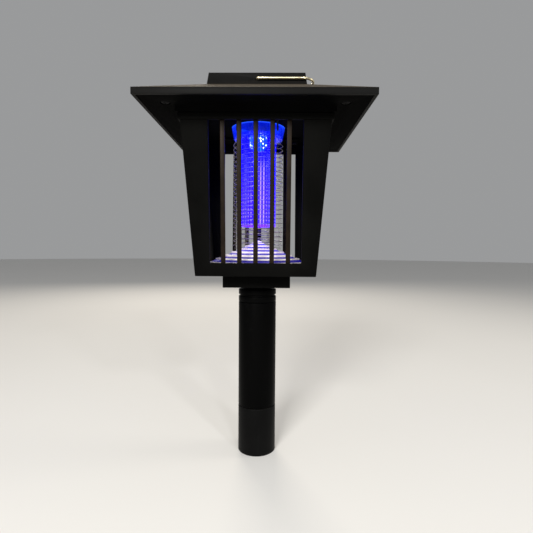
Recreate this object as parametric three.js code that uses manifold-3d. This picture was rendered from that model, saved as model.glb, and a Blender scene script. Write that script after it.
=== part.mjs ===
// Solar garden bug zapper on a ground stake: a square lantern cage under a hip roof with a solar panel.
// Millimetres, +Z up. The origin is on the pole's axis, at the level of the soil.
import * as THREE from "three";
import { mergeVertices } from "three/addons/utils/BufferGeometryUtils.js";
import Module from "manifold-3d";

const wasm = await Module();
wasm.setup();

// ---------------------------------------------------------------- driving dimensions

const GAP = 0.3; // clearance between two pieces that touch

// Levels above the soil.
const SPIKE_SEAM = 40;
const POLE_TOP = 128.4;
const CAGE_BOTTOM = 152;
const ROOF_BOTTOM = 272.3;

// Stake.
const POLE_RADIUS = 15.8;
const POLE_WALL = 1.6;
const SPIKE_DEPTH = 120;

// Cage. Heights are above the cage's own underside.
const CAGE_HEIGHT = 112;
const CAGE_FOOT_WIDTH = 90;
const CAGE_HEAD_WIDTH = 108;
const CAGE_WALL = 4;
const CAGE_RIM_WIDTH = 111;
const CAGE_RIM_HEIGHT = 4.7;
const WINDOW_WIDTH = 68;
const WINDOW_SILL = 10;
const BARS_PER_SIDE = 5;
const BAR_PITCH = 12;
const BAR_WIDTH = 3.4;
const BAR_THICKNESS = 1.6;

// Roof. Heights are above the fascia's lower edge.
const ROOF_WIDTH = 160;
const FASCIA_HEIGHT = 4.4;
const ROOF_SHELL = 2.4;
const PANEL_BOX_FOOT = 22.8;
const PANEL_BOX_TOP = 31.7;
const PANEL_BOX_WIDTH = 74.8;
const PANEL_WIDTH = 66;

// Lamp and high-voltage grid.
const GUIDE_RADIUS = 15;
const GUIDE_LENGTH = 75.4;
const CUP_RADIUS = 22;
const GRID_RADIUS = 20.5;
const GRID_WIRE_RADIUS = 0.45;
const GRID_PITCH = 7.56;
const GRID_POSTS = 6;

// Carrying bail.
const BAIL_REACH = 42.7;
const BAIL_HEIGHT = 26.9;
const BAIL_WIRE_RADIUS = 0.95;

const TAPER = (CAGE_HEAD_WIDTH - CAGE_FOOT_WIDTH) / 2 / CAGE_HEIGHT; // each cage face leans out by this slope

// ---------------------------------------------------------------- finishes

const finish = (color, roughness, metalness, extra = {}) => () =>
  new THREE.MeshStandardMaterial({ color, roughness, metalness, ...extra });

const blackPlastic = finish(0x1a1a1a, 0.55, 0);
const satinPlastic = finish(0x101010, 0.3, 0);
const bronzeBar = finish(0x4a3a26, 0.45, 0.8);
const polishedSteel = finish(0xd9d4c6, 0.15, 1);
const zincSteel = finish(0x9a9a98, 0.35, 1);
const blackScrew = finish(0x1c1c1d, 0.42, 1);
const gridSteel = finish(0x958e87, 0.26, 1);
const frostedPlastic = finish(0xbab3a2, 0.45, 0, { transparent: true, opacity: 0.45 });
const solarGlass = finish(0x0b1226, 0.1, 0);
const blueLamp = finish(0x2a22ff, 0.3, 0, { transparent: true, opacity: 0.8 });
const clearCup = finish(0x1030e0, 0.2, 0, { transparent: true, opacity: 0.7 });
const creamPlastic = finish(0xe9e2d0, 0.4, 0);
const greenBoard = finish(0x1d5b34, 0.5, 0);
const blackEpoxy = finish(0x141414, 0.6, 0);
const bluePlastic = finish(0x1f4fae, 0.4, 0);
const cellSleeve = finish(0x2f7d4a, 0.35, 0);
const darkInsulation = finish(0x19191d, 0.5, 0);
const greyPlastic = finish(0x6e7073, 0.5, 0);

// ---------------------------------------------------------------- shapes and booleans

const ROUND = 32; // sides of a large round piece
const MIDDLE_ROUND = 24; // sides of a piece with many rings, and of a middle-sized one
const SMALL_ROUND = 12; // sides of a screw, pin or small hole

// A closed geometry as a solid that can be joined and cut.
function solid(geometry) {
  const bare = geometry.clone();
  bare.deleteAttribute("normal");
  bare.deleteAttribute("uv");
  const merged = mergeVertices(bare, 1e-4);
  return new wasm.Manifold(
    new wasm.Mesh({
      numProp: 3,
      vertProperties: merged.getAttribute("position").array,
      triVerts: new Uint32Array(merged.index.array),
    }),
  );
}

// A solid's faces as a geometry.
function skin(shape) {
  const mesh = shape.getMesh();
  const geometry = new THREE.BufferGeometry();
  geometry.setAttribute("position", new THREE.BufferAttribute(mesh.vertProperties, 3));
  geometry.setIndex(new THREE.BufferAttribute(mesh.triVerts, 1));
  geometry.computeVertexNormals();
  return geometry;
}

const join = (first, ...rest) => rest.reduce((whole, piece) => whole.add(piece), first);
const cut = (first, ...rest) => rest.reduce((whole, piece) => whole.subtract(piece), first);

// A block between two heights, centred on x and y.
function block(width, depth, low, high, x = 0, y = 0) {
  const geometry = new THREE.BoxGeometry(width, depth, high - low);
  return geometry.translate(x, y, (low + high) / 2);
}

// A square upright body from [width, height] points, like a body of revolution with four flat sides.
function hipped(points) {
  const profile = points.map(([width, height]) => new THREE.Vector2(width / Math.SQRT2, height));
  return new THREE.LatheGeometry(profile, 4).rotateX(Math.PI / 2).rotateZ(Math.PI / 4);
}

// An upright cylinder between two heights.
function disc(radius, low, high, x = 0, y = 0, sides = SMALL_ROUND) {
  const geometry = new THREE.CylinderGeometry(radius, radius, high - low, sides);
  return geometry.rotateX(Math.PI / 2).translate(x, y, (low + high) / 2);
}

// A body of revolution about Z from [radius, height] points.
function turned(points, sides = ROUND) {
  const profile = points.map(([radius, height]) => new THREE.Vector2(radius, height));
  return new THREE.LatheGeometry(profile, sides).rotateX(Math.PI / 2);
}

// A ring of revolution, whose outline closes on itself.
const turnedRing = (points, sides = ROUND) => turned([...points, points[0]], sides);

// A round wire along a curve.
function wire(curve, radius, sides, steps) {
  const section = new THREE.Shape();
  for (let i = 0; i < sides; i += 1) {
    const angle = (i / sides) * 2 * Math.PI;
    const point = [radius * Math.cos(angle), radius * Math.sin(angle)];
    if (i === 0) section.moveTo(...point);
    else section.lineTo(...point);
  }
  return new THREE.ExtrudeGeometry(section, { steps, bevelEnabled: false, extrudePath: curve });
}

function named(name, geometry, material, x = 0, y = 0, z = 0) {
  const mesh = new THREE.Mesh(geometry, material());
  mesh.name = name;
  mesh.position.set(x, y, z);
  return mesh;
}

// A pan-head screw, head down, whose tip is `length` above the head's lower face.
function screw(name, size, material, x, y, z) {
  const { headRadius, headHeight, shankRadius, length } = size;
  const profile = [
    [0, 0],
    [headRadius, 0],
    [headRadius, headHeight],
    [shankRadius, headHeight],
    [shankRadius, length - shankRadius],
    [0, length],
  ];
  return named(name, turned(profile, SMALL_ROUND), material, x, y, z);
}

// ---------------------------------------------------------------- stake

function groundSpike() {
  const plugRadius = POLE_RADIUS - POLE_WALL - GAP;
  const plugLength = 22;
  const plugTop = SPIKE_SEAM + plugLength;
  const plugWall = 2.2;
  const boreRadius = plugRadius - plugWall;
  const soleThickness = 4;
  const collar = solid(
    turned([
      [0, 0],
      [POLE_RADIUS, 0],
      [POLE_RADIUS, SPIKE_SEAM - GAP],
      [plugRadius, SPIKE_SEAM - GAP],
      [plugRadius, plugTop],
      [boreRadius, plugTop],
      [boreRadius, soleThickness],
      [0, soleThickness],
    ]),
  );
  const bladeHalf = 13;
  const bladeThickness = 2.6;
  const shoulderDepth = 18;
  const root = 1; // how far the blades run up into the collar's sole
  const outline = new THREE.Shape();
  outline.moveTo(-bladeHalf, root);
  outline.lineTo(-bladeHalf, -shoulderDepth);
  outline.lineTo(0, -SPIKE_DEPTH);
  outline.lineTo(bladeHalf, -shoulderDepth);
  outline.lineTo(bladeHalf, root);
  const blade = new THREE.ExtrudeGeometry(outline, { depth: bladeThickness, bevelEnabled: false });
  blade.translate(0, 0, -bladeThickness / 2).rotateX(Math.PI / 2);
  const crossed = blade.clone().rotateZ(Math.PI / 2);
  return named("ground_spike", skin(join(collar, solid(blade), solid(crossed))), blackPlastic);
}

function pole() {
  const bore = POLE_RADIUS - POLE_WALL;
  const length = POLE_TOP - SPIKE_SEAM - GAP;
  const chamfer = 0.4;
  const profile = [
    [bore, 0],
    [POLE_RADIUS - chamfer, 0],
    [POLE_RADIUS, chamfer],
    [POLE_RADIUS, length - chamfer],
    [POLE_RADIUS - chamfer, length],
    [bore, length],
  ];
  return named("pole", turnedRing(profile), satinPlastic, 0, 0, SPIKE_SEAM);
}

const SPIGOT_RADIUS = 12.8;
const SPIGOT_TOP = 35.6; // above the pole's top

// Heights are above the pole's top: a band, a groove and a ring, then the spigot for the lantern.
function poleCoupler() {
  const bore = 10.8;
  const plug = POLE_RADIUS - POLE_WALL - GAP;
  const plugFoot = -24;
  const bandTop = 4.4;
  const ringLow = 6;
  const ringTop = 10.2;
  const grooveDepth = 1;
  const grooveSlope = 0.45;
  const chamfer = 1;
  const profile = [
    [bore, plugFoot],
    [plug, plugFoot],
    [plug, 0],
    [POLE_RADIUS, 0],
    [POLE_RADIUS, bandTop],
    [POLE_RADIUS - grooveDepth, bandTop + grooveSlope],
    [POLE_RADIUS - grooveDepth, ringLow - grooveSlope],
    [POLE_RADIUS, ringLow],
    [POLE_RADIUS, ringTop],
    [SPIGOT_RADIUS, ringTop],
    [SPIGOT_RADIUS, SPIGOT_TOP - chamfer],
    [SPIGOT_RADIUS - chamfer, SPIGOT_TOP],
    [bore, SPIGOT_TOP],
  ];
  return named("pole_coupler", turnedRing(profile), satinPlastic, 0, 0, POLE_TOP);
}

// ---------------------------------------------------------------- lantern cage

const cageWidth = (height) => CAGE_FOOT_WIDTH + 2 * TAPER * height;

const SIDES = ["front", "right", "rear", "left"]; // each a quarter turn about Z from the one before

const BAR_FOOT = 5;
const BAR_INTO_RIM = 2.4;
const BAR_HEAD = CAGE_HEIGHT + BAR_INTO_RIM;

// One upright bar of a cage face, placed in that face's own group; `spare` grows it into its pocket.
function barOutline(spare = 0) {
  const length = (BAR_HEAD - BAR_FOOT) * Math.hypot(1, TAPER);
  return new THREE.BoxGeometry(BAR_WIDTH + 2 * spare, BAR_THICKNESS + 2 * spare, length + 2 * spare);
}

function barPlace(index) {
  const middle = (BAR_FOOT + BAR_HEAD) / 2;
  return {
    x: (index - (BARS_PER_SIDE - 1) / 2) * BAR_PITCH,
    y: -(cageWidth(middle) - CAGE_WALL) / 2,
    z: middle,
    lean: Math.atan(TAPER),
  };
}

function cageFrame() {
  const ledgeHeight = 1.6;
  const ledgeOpening = 76;
  const past = 1; // how far one shape runs into the next
  const wallTop = CAGE_HEIGHT + past;
  const rimOpening = 105.2;
  const outside = solid(
    hipped([
      [0, 0],
      [CAGE_FOOT_WIDTH, 0],
      [cageWidth(wallTop), wallTop],
      [0, wallTop],
    ]),
  );
  const inside = solid(
    hipped([
      [0, ledgeHeight],
      [cageWidth(ledgeHeight) - 2 * CAGE_WALL, ledgeHeight],
      [cageWidth(wallTop + past) - 2 * CAGE_WALL, wallTop + past],
      [0, wallTop + past],
    ]),
  );
  const ledgeHole = solid(block(ledgeOpening, ledgeOpening, -past, ledgeHeight + past));
  const window = block(WINDOW_WIDTH, 2 * CAGE_RIM_WIDTH, WINDOW_SILL, wallTop + past);
  const crossWindow = window.clone().rotateZ(Math.PI / 2);
  const walls = cut(outside, inside, ledgeHole, solid(window), solid(crossWindow));
  const rimTop = CAGE_HEIGHT + CAGE_RIM_HEIGHT;
  const rim = cut(
    solid(block(CAGE_RIM_WIDTH, CAGE_RIM_WIDTH, CAGE_HEIGHT, rimTop)),
    solid(block(rimOpening, rimOpening, CAGE_HEIGHT - past, rimTop + past)),
  );
  const pockets = [];
  for (let side = 0; side < SIDES.length; side += 1) {
    for (let i = 0; i < BARS_PER_SIDE; i += 1) {
      const { x, y, z, lean } = barPlace(i);
      const pocket = barOutline(GAP).rotateX(lean).translate(x, y, z);
      pockets.push(solid(pocket.rotateZ((side * Math.PI) / 2)));
    }
  }
  return named("cage_frame", skin(cut(join(walls, rim), ...pockets)), blackPlastic);
}

function cageBars() {
  const bars = new THREE.Group();
  SIDES.forEach((label, side) => {
    const face = new THREE.Group();
    face.rotation.z = (side * Math.PI) / 2;
    for (let i = 0; i < BARS_PER_SIDE; i += 1) {
      const { x, y, z, lean } = barPlace(i);
      const bar = named(`cage_bar_${label}_${i + 1}`, barOutline(), bronzeBar, x, y, z);
      bar.rotation.x = lean;
      face.add(bar);
    }
    bars.add(face);
  });
  return bars;
}

const SOCKET_RADIUS = 16.5;
const FLOOR_LOW = 1.9;
const FLOOR_HIGH = 4.1;
const NECK_BOTTOM = -10.2;
const NECK_SCREW = { headRadius: 3, headHeight: 2, shankRadius: 1.4, length: 15.5 };
const neckScrewPlaces = [1, -1].map((side) => [19.5 * side, 19.5 * side]);

function cageFloor() {
  const width = 81.2;
  const socketTop = 16;
  const boreTop = 14.4;
  const bossTop = 7.5;
  const bossRadius = 3.4;
  const pilotRadius = 1.7;
  const socketFoot = NECK_BOTTOM + 0.4;
  const plate = join(
    solid(block(width, width, FLOOR_LOW, FLOOR_HIGH)),
    solid(disc(SOCKET_RADIUS, socketFoot, socketTop, 0, 0, ROUND)),
    ...neckScrewPlaces.map(([x, y]) => solid(disc(bossRadius, FLOOR_LOW, bossTop, x, y))),
  );
  const bore = solid(disc(SPIGOT_RADIUS + GAP, NECK_BOTTOM, boreTop, 0, 0, ROUND));
  const pilots = neckScrewPlaces.map(([x, y]) => solid(disc(pilotRadius, 0, bossTop - 1, x, y)));
  return named("cage_floor", skin(cut(plate, bore, ...pilots)), blackPlastic);
}

function neckBlock() {
  const width = 53.2;
  const wall = 2.4;
  const top = FLOOR_LOW - GAP;
  const columnRadius = 4.4;
  const holeRadius = NECK_SCREW.shankRadius + 0.5;
  const recessRadius = NECK_SCREW.headRadius + 0.4;
  const recessTop = NECK_BOTTOM + NECK_SCREW.headHeight + 0.6;
  const shell = cut(
    solid(block(width, width, NECK_BOTTOM, top)),
    solid(block(width - 2 * wall, width - 2 * wall, NECK_BOTTOM + wall, top + 1)),
  );
  const sleeve = solid(disc(SOCKET_RADIUS + GAP + wall, NECK_BOTTOM, top, 0, 0, ROUND));
  const pillars = neckScrewPlaces.map(([x, y]) => solid(disc(columnRadius, NECK_BOTTOM, top, x, y)));
  const bore = solid(disc(SOCKET_RADIUS + GAP, NECK_BOTTOM - 1, top + 1, 0, 0, ROUND));
  const holes = neckScrewPlaces.flatMap(([x, y]) => [
    solid(disc(holeRadius, NECK_BOTTOM - 1, top + 1, x, y)),
    solid(disc(recessRadius, NECK_BOTTOM - 1, recessTop, x, y)),
  ]);
  return named("neck_block", skin(cut(join(shell, sleeve, ...pillars), bore, ...holes)), blackPlastic);
}

function neckScrews() {
  return neckScrewPlaces.map(([x, y], i) =>
    screw(`neck_screw_${i + 1}`, NECK_SCREW, blackScrew, x, y, NECK_BOTTOM + GAP),
  );
}

// Ringed cone that throws the falling insects and the lamp's light outwards.
function deflectorCone() {
  const edges = [40.3, 35.5, 29.5, 22.5, 16.5, 11, 5.5]; // outer radius of each ring
  const ringStep = 3;
  const lowestRing = 9.8;
  const settle = 0.06; // the rings get a little shallower towards the peak
  const lip = 0.9;
  const peak = 27.6;
  const wall = 1.4;
  const foot = FLOOR_HIGH + GAP;
  const profile = [
    [0, peak - 2 * wall],
    [edges[0] - wall, foot + 1.1],
    [edges[0] - wall, foot],
    [edges[0], foot],
  ];
  edges.forEach((edge, i) => {
    const top = lowestRing + i * ringStep - settle * i * i;
    const inner = edges[i + 1] ?? 0;
    profile.push([edge, top - lip]);
    profile.push([edge - lip, top]);
    if (inner > 0) profile.push([inner, top]);
  });
  profile.push([2, peak - 0.4]);
  profile.push([0, peak]);
  return named("deflector_cone", turned(profile, MIDDLE_ROUND), creamPlastic);
}

// ---------------------------------------------------------------- roof

const CORNER_SCREW = { headRadius: 3.2, headHeight: 0.9, shankRadius: 1.2, length: 8 };
const CORNER_REACH = 62; // of the corner screws, along X and Y
const PLATE_LOW = 0.3;
const PLATE_HIGH = 2.7;

const roofSlope = (PANEL_BOX_FOOT - FASCIA_HEIGHT) / ((ROOF_WIDTH - PANEL_BOX_WIDTH) / 2);
// Height of the roof's inner face at a distance from the axis.
const ceiling = (reach) => FASCIA_HEIGHT + (ROOF_WIDTH / 2 - reach) * roofSlope - ROOF_SHELL;

const PANEL_LEAD_X = 20;

const corners = [
  [1, 1],
  [-1, 1],
  [-1, -1],
  [1, -1],
];

function roofShell() {
  const boxDraft = 2.6;
  const boxTopWidth = PANEL_BOX_WIDTH - boxDraft;
  const innerWidth = ROOF_WIDTH - 2 * (ROOF_SHELL - 0.2);
  const innerBoxWidth = 67.8;
  const recessWidth = PANEL_WIDTH + 2 * GAP;
  const recessDepth = 2.6;
  const recessFloor = PANEL_BOX_TOP - recessDepth;
  const innerTop = recessFloor - 1.6;
  const innerFoot = ceiling(innerWidth / 2);
  const innerShoulder = ceiling(innerBoxWidth / 2);
  const outside = solid(
    hipped([
      [0, 0],
      [ROOF_WIDTH, 0],
      [ROOF_WIDTH, FASCIA_HEIGHT],
      [PANEL_BOX_WIDTH, PANEL_BOX_FOOT],
      [boxTopWidth, PANEL_BOX_TOP],
      [0, PANEL_BOX_TOP],
    ]),
  );
  const inside = solid(
    hipped([
      [0, -1],
      [innerWidth, -1],
      [innerWidth, innerFoot],
      [innerBoxWidth, innerShoulder],
      [innerBoxWidth, innerTop],
      [0, innerTop],
    ]),
  );
  const recess = solid(block(recessWidth, recessWidth, recessFloor, PANEL_BOX_TOP + 1));
  const leadHoleRadius = 2.5;
  const leadHole = solid(disc(leadHoleRadius, innerTop - 1, recessFloor + 1, PANEL_LEAD_X, 0));
  const pivotRadius = BAIL_WIRE_RADIUS + 0.35;
  const pivotLength = 6;
  const pivot = new THREE.CylinderGeometry(pivotRadius, pivotRadius, pivotLength, SMALL_ROUND);
  const pivotHoles = [1, -1].map((side) =>
    solid(pivot.clone().translate(0, (side * PANEL_BOX_WIDTH) / 2, BAIL_HEIGHT)),
  );
  const bossRadius = 3.4;
  const bossFoot = PLATE_HIGH + GAP;
  const bossTop = ceiling(CORNER_REACH) + 1;
  const bosses = corners.map(([x, y]) =>
    solid(disc(bossRadius, bossFoot, bossTop, x * CORNER_REACH, y * CORNER_REACH)),
  );
  const pilotRadius = CORNER_SCREW.shankRadius + GAP;
  const pilots = corners.map(([x, y]) =>
    solid(disc(pilotRadius, bossFoot - 1, bossTop - 1, x * CORNER_REACH, y * CORNER_REACH)),
  );
  const shell = join(cut(outside, inside), ...bosses);
  return named("roof_shell", skin(cut(shell, recess, leadHole, ...pivotHoles, ...pilots)), blackPlastic);
}

function solarPanel() {
  const high = PANEL_BOX_TOP - GAP;
  const thickness = 2;
  return named("solar_panel", block(PANEL_WIDTH, PANEL_WIDTH, high - thickness, high), solarGlass);
}

// Battery bay, behind the lamp.
const CELL_RADIUS = 7.1;
const CELL_LENGTH = 50;
const CELL_Y = 37;
const CELL_Z = 9.9;
const BAY_LENGTH = 53.4;
const BAY_WIDTH = 17;
const HATCH_SCREW = { headRadius: 2.8, headHeight: 1.2, shankRadius: 1.2, length: 5 };
const HATCH_SCREW_X = 32.5;
const HATCH_SCREW_HOLE = 1.6;
const HATCH_SCREW_SEAT = -3;

// Slide switch, at the rear of the roof's underside.
const SWITCH_Y = 61.5;
const SWITCH_TRAVEL = 4;
const KNOB_LENGTH = 6;
const KNOB_WIDTH = 3.4;
const SWITCH_BODY_WIDTH = 6;
const SLOT_LENGTH = KNOB_LENGTH + SWITCH_TRAVEL + 1.2;

// Circuit board, ahead of the lamp.
const BOARD_Y = -40;
const BOARD_LOW = 6.7;
const BOARD_HIGH = 8.3;
const BOARD_SCREW = { headRadius: 2.4, headHeight: 1.4, shankRadius: 1, length: 6.8 };
const BOARD_SCREW_X = 27;
const BOARD_SEAT = BOARD_HIGH + GAP; // where the parts on the board stand

// Grid leads, between the board and the two wires.
const GRID_LEAD_X = 16;
const GRID_LEAD_Y = -24;
const LEAD_RADIUS = 0.8;

function basePlate() {
  const width = 155;
  const skirtWidth = 113.6;
  const skirtOpening = 106;
  const skirtFoot = -3.3;
  const lipWidth = 102;
  const lipOpening = 98.8;
  const lipFoot = -7;
  const joined = PLATE_LOW + 0.5;
  const frame = (outer, inner, low) =>
    cut(solid(block(outer, outer, low, joined)), solid(block(inner, inner, low - 1, joined + 1)));
  const bayWall = 2;
  const bayWallTop = 14;
  const bayWallX = BAY_LENGTH / 2 + bayWall / 2 + GAP;
  const endWalls = [1, -1].map((side) =>
    solid(block(bayWall, BAY_WIDTH + bayWall, PLATE_LOW, bayWallTop, side * bayWallX, CELL_Y)),
  );
  const postRadius = 2.8;
  const boardPosts = [1, -1].map((side) =>
    solid(disc(postRadius, PLATE_LOW, BOARD_LOW - GAP, side * BOARD_SCREW_X, BOARD_Y)),
  );
  const whole = join(
    solid(block(width, width, PLATE_LOW, PLATE_HIGH)),
    frame(skirtWidth, skirtOpening, skirtFoot),
    frame(lipWidth, lipOpening, lipFoot),
    ...endWalls,
    ...boardPosts,
  );
  const above = PLATE_HIGH + 1;
  const through = (radius, x, y, sides = SMALL_ROUND) => solid(disc(radius, -1, above, x, y, sides));
  const cupHole = CUP_RADIUS + 0.4;
  const leadHole = LEAD_RADIUS + 0.4;
  const pilotRadius = BOARD_SCREW.shankRadius + GAP;
  const cornerHole = CORNER_SCREW.shankRadius + 0.7;
  const cornerRecess = CORNER_SCREW.headRadius + 0.4;
  const recessTop = PLATE_LOW + CORNER_SCREW.headHeight + GAP;
  const openings = [
    through(cupHole, 0, 0, ROUND),
    solid(block(BAY_LENGTH, BAY_WIDTH, -1, above, 0, CELL_Y)),
    solid(block(SLOT_LENGTH, KNOB_WIDTH + 1, -1, above, SWITCH_TRAVEL / 2, SWITCH_Y)),
    through(HATCH_SCREW_HOLE, HATCH_SCREW_X, CELL_Y),
    ...[1, -1].map((side) =>
      solid(disc(pilotRadius, PLATE_HIGH - 0.2, BOARD_LOW, side * BOARD_SCREW_X, BOARD_Y)),
    ),
    ...[1, -1].map((side) => through(leadHole, side * GRID_LEAD_X, GRID_LEAD_Y)),
    ...corners.flatMap(([x, y]) => [
      through(cornerHole, x * CORNER_REACH, y * CORNER_REACH),
      solid(disc(cornerRecess, -1, recessTop, x * CORNER_REACH, y * CORNER_REACH)),
    ]),
  ];
  return named("base_plate", skin(cut(whole, ...openings)), blackPlastic);
}

function baseScrews() {
  return corners.map(([x, y], i) =>
    screw(`base_screw_${i + 1}`, CORNER_SCREW, blackScrew, x * CORNER_REACH, y * CORNER_REACH, PLATE_LOW),
  );
}

function batteryCover() {
  const coverLength = 72;
  const coverWidth = 21;
  const low = -1.4;
  const plugTop = 2;
  const plugPlay = 0.8;
  const panel = join(
    solid(block(coverLength, coverWidth, low, 0, 0, CELL_Y)),
    solid(block(BAY_LENGTH - plugPlay, BAY_WIDTH - plugPlay, low, plugTop, 0, CELL_Y)),
  );
  const screwHole = solid(disc(HATCH_SCREW_HOLE, low - 1, 1, HATCH_SCREW_X, CELL_Y));
  return named("battery_cover", skin(cut(panel, screwHole)), blackPlastic);
}

function battery() {
  const capRadius = 2.8;
  const shoulder = CELL_LENGTH - 1;
  const edge = 0.5;
  const cell = turned(
    [
      [0, 0],
      [CELL_RADIUS - edge, 0],
      [CELL_RADIUS, edge],
      [CELL_RADIUS, shoulder - edge],
      [CELL_RADIUS - edge, shoulder],
      [capRadius, shoulder],
      [capRadius, CELL_LENGTH],
      [0, CELL_LENGTH],
    ],
    MIDDLE_ROUND,
  );
  const mesh = named("battery", cell, cellSleeve, -CELL_LENGTH / 2, CELL_Y, CELL_Z);
  mesh.rotation.y = Math.PI / 2;
  return mesh;
}

function batteryContacts() {
  const thickness = 0.6;
  const width = 10;
  const low = 3.6;
  const x = CELL_LENGTH / 2 + 1.2;
  return [
    ["contact_positive", 1],
    ["contact_negative", -1],
  ].map(([name, side]) =>
    named(name, block(thickness, width, low, low + width, side * x, CELL_Y), zincSteel),
  );
}

function circuitBoard() {
  const length = 62;
  const width = 24;
  const holeRadius = BOARD_SCREW.shankRadius + 0.5;
  const plate = solid(block(length, width, BOARD_LOW, BOARD_HIGH, 0, BOARD_Y));
  const holes = [1, -1].map((side) =>
    solid(disc(holeRadius, BOARD_LOW - 1, BOARD_HIGH + 1, side * BOARD_SCREW_X, BOARD_Y)),
  );
  return named("circuit_board", skin(cut(plate, ...holes)), greenBoard);
}

function boardParts() {
  const y = BOARD_Y + 5;
  const transformer = block(11, 10, BOARD_SEAT, BOARD_SEAT + 8.6, -9, y);
  const capacitor = block(12, 5, BOARD_SEAT, BOARD_SEAT + 7, 7, y);
  return [
    named("boost_transformer", transformer, blackEpoxy),
    named("storage_capacitor", capacitor, bluePlastic),
    ...[1, -1].map((side, i) => boardScrew(`board_screw_${i + 1}`, side * BOARD_SCREW_X)),
  ];
}

// The board's screws go in head up.
function boardScrew(name, x) {
  const mesh = screw(name, BOARD_SCREW, zincSteel, x, BOARD_Y, BOARD_SEAT + BOARD_SCREW.headHeight);
  mesh.rotation.x = Math.PI;
  return mesh;
}

function switchBody() {
  const low = PLATE_HIGH + GAP;
  const length = 20;
  const height = 4.6;
  const slotDepth = 3;
  const stemWidth = KNOB_WIDTH - 0.6;
  const x = SWITCH_TRAVEL / 2;
  const body = solid(block(length, SWITCH_BODY_WIDTH, low, low + height, x, SWITCH_Y));
  const slot = solid(block(SLOT_LENGTH, stemWidth, low - 1, low + slotDepth, x, SWITCH_Y));
  return named("switch_body", skin(cut(body, slot)), greyPlastic);
}

function switchKnob() {
  const capLow = -1.9;
  const capHigh = PLATE_LOW + 0.8;
  const stemTop = PLATE_HIGH + 3;
  const stem = solid(block(KNOB_LENGTH - 1, KNOB_WIDTH - 1.4, capLow + 1, stemTop, 0, SWITCH_Y));
  const cap = solid(block(KNOB_LENGTH, KNOB_WIDTH, capLow, capHigh, 0, SWITCH_Y));
  return named("switch_knob", skin(join(stem, cap)), blackPlastic);
}

// ---------------------------------------------------------------- lamp and grid, hanging from the base plate

const FLANGE = 1.6; // thickness of the cup's floor, the guide's flange and the lamp's board
const CUP_FOOT = -9.3;
const CUP_FLOOR = CUP_FOOT + FLANGE;
const GUIDE_TOP = CUP_FLOOR + GAP + FLANGE;
const LED_BOARD_LOW = GUIDE_TOP + GAP;
const LED_BOARD_HIGH = LED_BOARD_LOW + FLANGE;

function lampCup() {
  const flangeRadius = 24.2;
  const flangeLow = PLATE_HIGH + GAP;
  const flangeHigh = flangeLow + 1.4;
  const footRadius = CUP_RADIUS - 1.6;
  const wall = 1.5;
  const profile = [
    [GUIDE_RADIUS + GAP, CUP_FOOT],
    [footRadius, CUP_FOOT],
    [CUP_RADIUS, 0],
    [CUP_RADIUS, flangeLow],
    [flangeRadius, flangeLow],
    [flangeRadius, flangeHigh],
    [CUP_RADIUS - wall, flangeHigh],
    [CUP_RADIUS - wall, 0],
    [footRadius - wall, CUP_FLOOR],
    [GUIDE_RADIUS + GAP, CUP_FLOOR],
  ];
  return named("lamp_cup", turnedRing(profile), clearCup);
}

function lightGuide() {
  const wall = 2.4;
  const bore = GUIDE_RADIUS - wall;
  const flangeRadius = 17.8;
  const flangeLow = CUP_FLOOR + GAP;
  const profile = [
    [bore, GUIDE_TOP - GUIDE_LENGTH],
    [GUIDE_RADIUS, GUIDE_TOP - GUIDE_LENGTH],
    [GUIDE_RADIUS, flangeLow],
    [flangeRadius, flangeLow],
    [flangeRadius, GUIDE_TOP],
    [bore, GUIDE_TOP],
  ];
  return named("light_guide", turnedRing(profile), blueLamp);
}

function ledBoard() {
  const radius = GUIDE_RADIUS - 1;
  return named("led_board", disc(radius, LED_BOARD_LOW, LED_BOARD_HIGH, 0, 0, MIDDLE_ROUND), greenBoard);
}

function uvLed() {
  const radius = 2.5;
  const top = LED_BOARD_LOW - GAP;
  const bodyLength = 6;
  const rimRadius = radius + 0.4;
  const rimHeight = 1;
  const domeSteps = 4;
  const profile = [];
  for (let i = 0; i <= domeSteps; i += 1) {
    const angle = (i / domeSteps) * (Math.PI / 2);
    profile.push([radius * Math.sin(angle), top - bodyLength - radius * Math.cos(angle)]);
  }
  profile.push([radius, top - rimHeight], [rimRadius, top - rimHeight], [rimRadius, top], [0, top]);
  return named("uv_led", turned(profile, SMALL_ROUND), clearCup);
}

const GRID_TOP = CUP_FOOT - 3.7;
const GRID_LENGTH = 84;
const GRID_FOOT = GRID_TOP - GRID_LENGTH;

function gridFrame() {
  const innerRadius = 17.2;
  const outerRadius = 20.1;
  const postDepth = 2.2;
  const postWidth = 2.4;
  const postReach = innerRadius + 1;
  const topRingHigh = CUP_FOOT - GAP;
  const topRingLow = topRingHigh - 2;
  const footRingHigh = GRID_FOOT - 1.1;
  const footRingLow = footRingHigh - 2.2;
  const into = 0.5; // how far the posts run into each ring
  const ring = (low, high) =>
    solid(
      turnedRing([
        [innerRadius, low],
        [outerRadius, low],
        [outerRadius, high],
        [innerRadius, high],
      ]),
    );
  const posts = [];
  for (let i = 0; i < GRID_POSTS; i += 1) {
    const post = block(postDepth, postWidth, footRingLow + into, topRingHigh - into, postReach, 0);
    posts.push(solid(post.rotateZ((i / GRID_POSTS) * 2 * Math.PI)));
  }
  const frame = join(ring(topRingLow, topRingHigh), ring(footRingLow, footRingHigh), ...posts);
  return named("grid_frame", skin(frame), frostedPlastic);
}

class Helix extends THREE.Curve {
  constructor(radius, low, length, pitch, start) {
    super();
    Object.assign(this, { radius, low, length, pitch, start });
  }

  getPoint(t, target = new THREE.Vector3()) {
    const rise = this.length * t;
    const angle = this.start + (rise / this.pitch) * 2 * Math.PI;
    return target.set(this.radius * Math.cos(angle), this.radius * Math.sin(angle), this.low + rise);
  }
}

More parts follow.
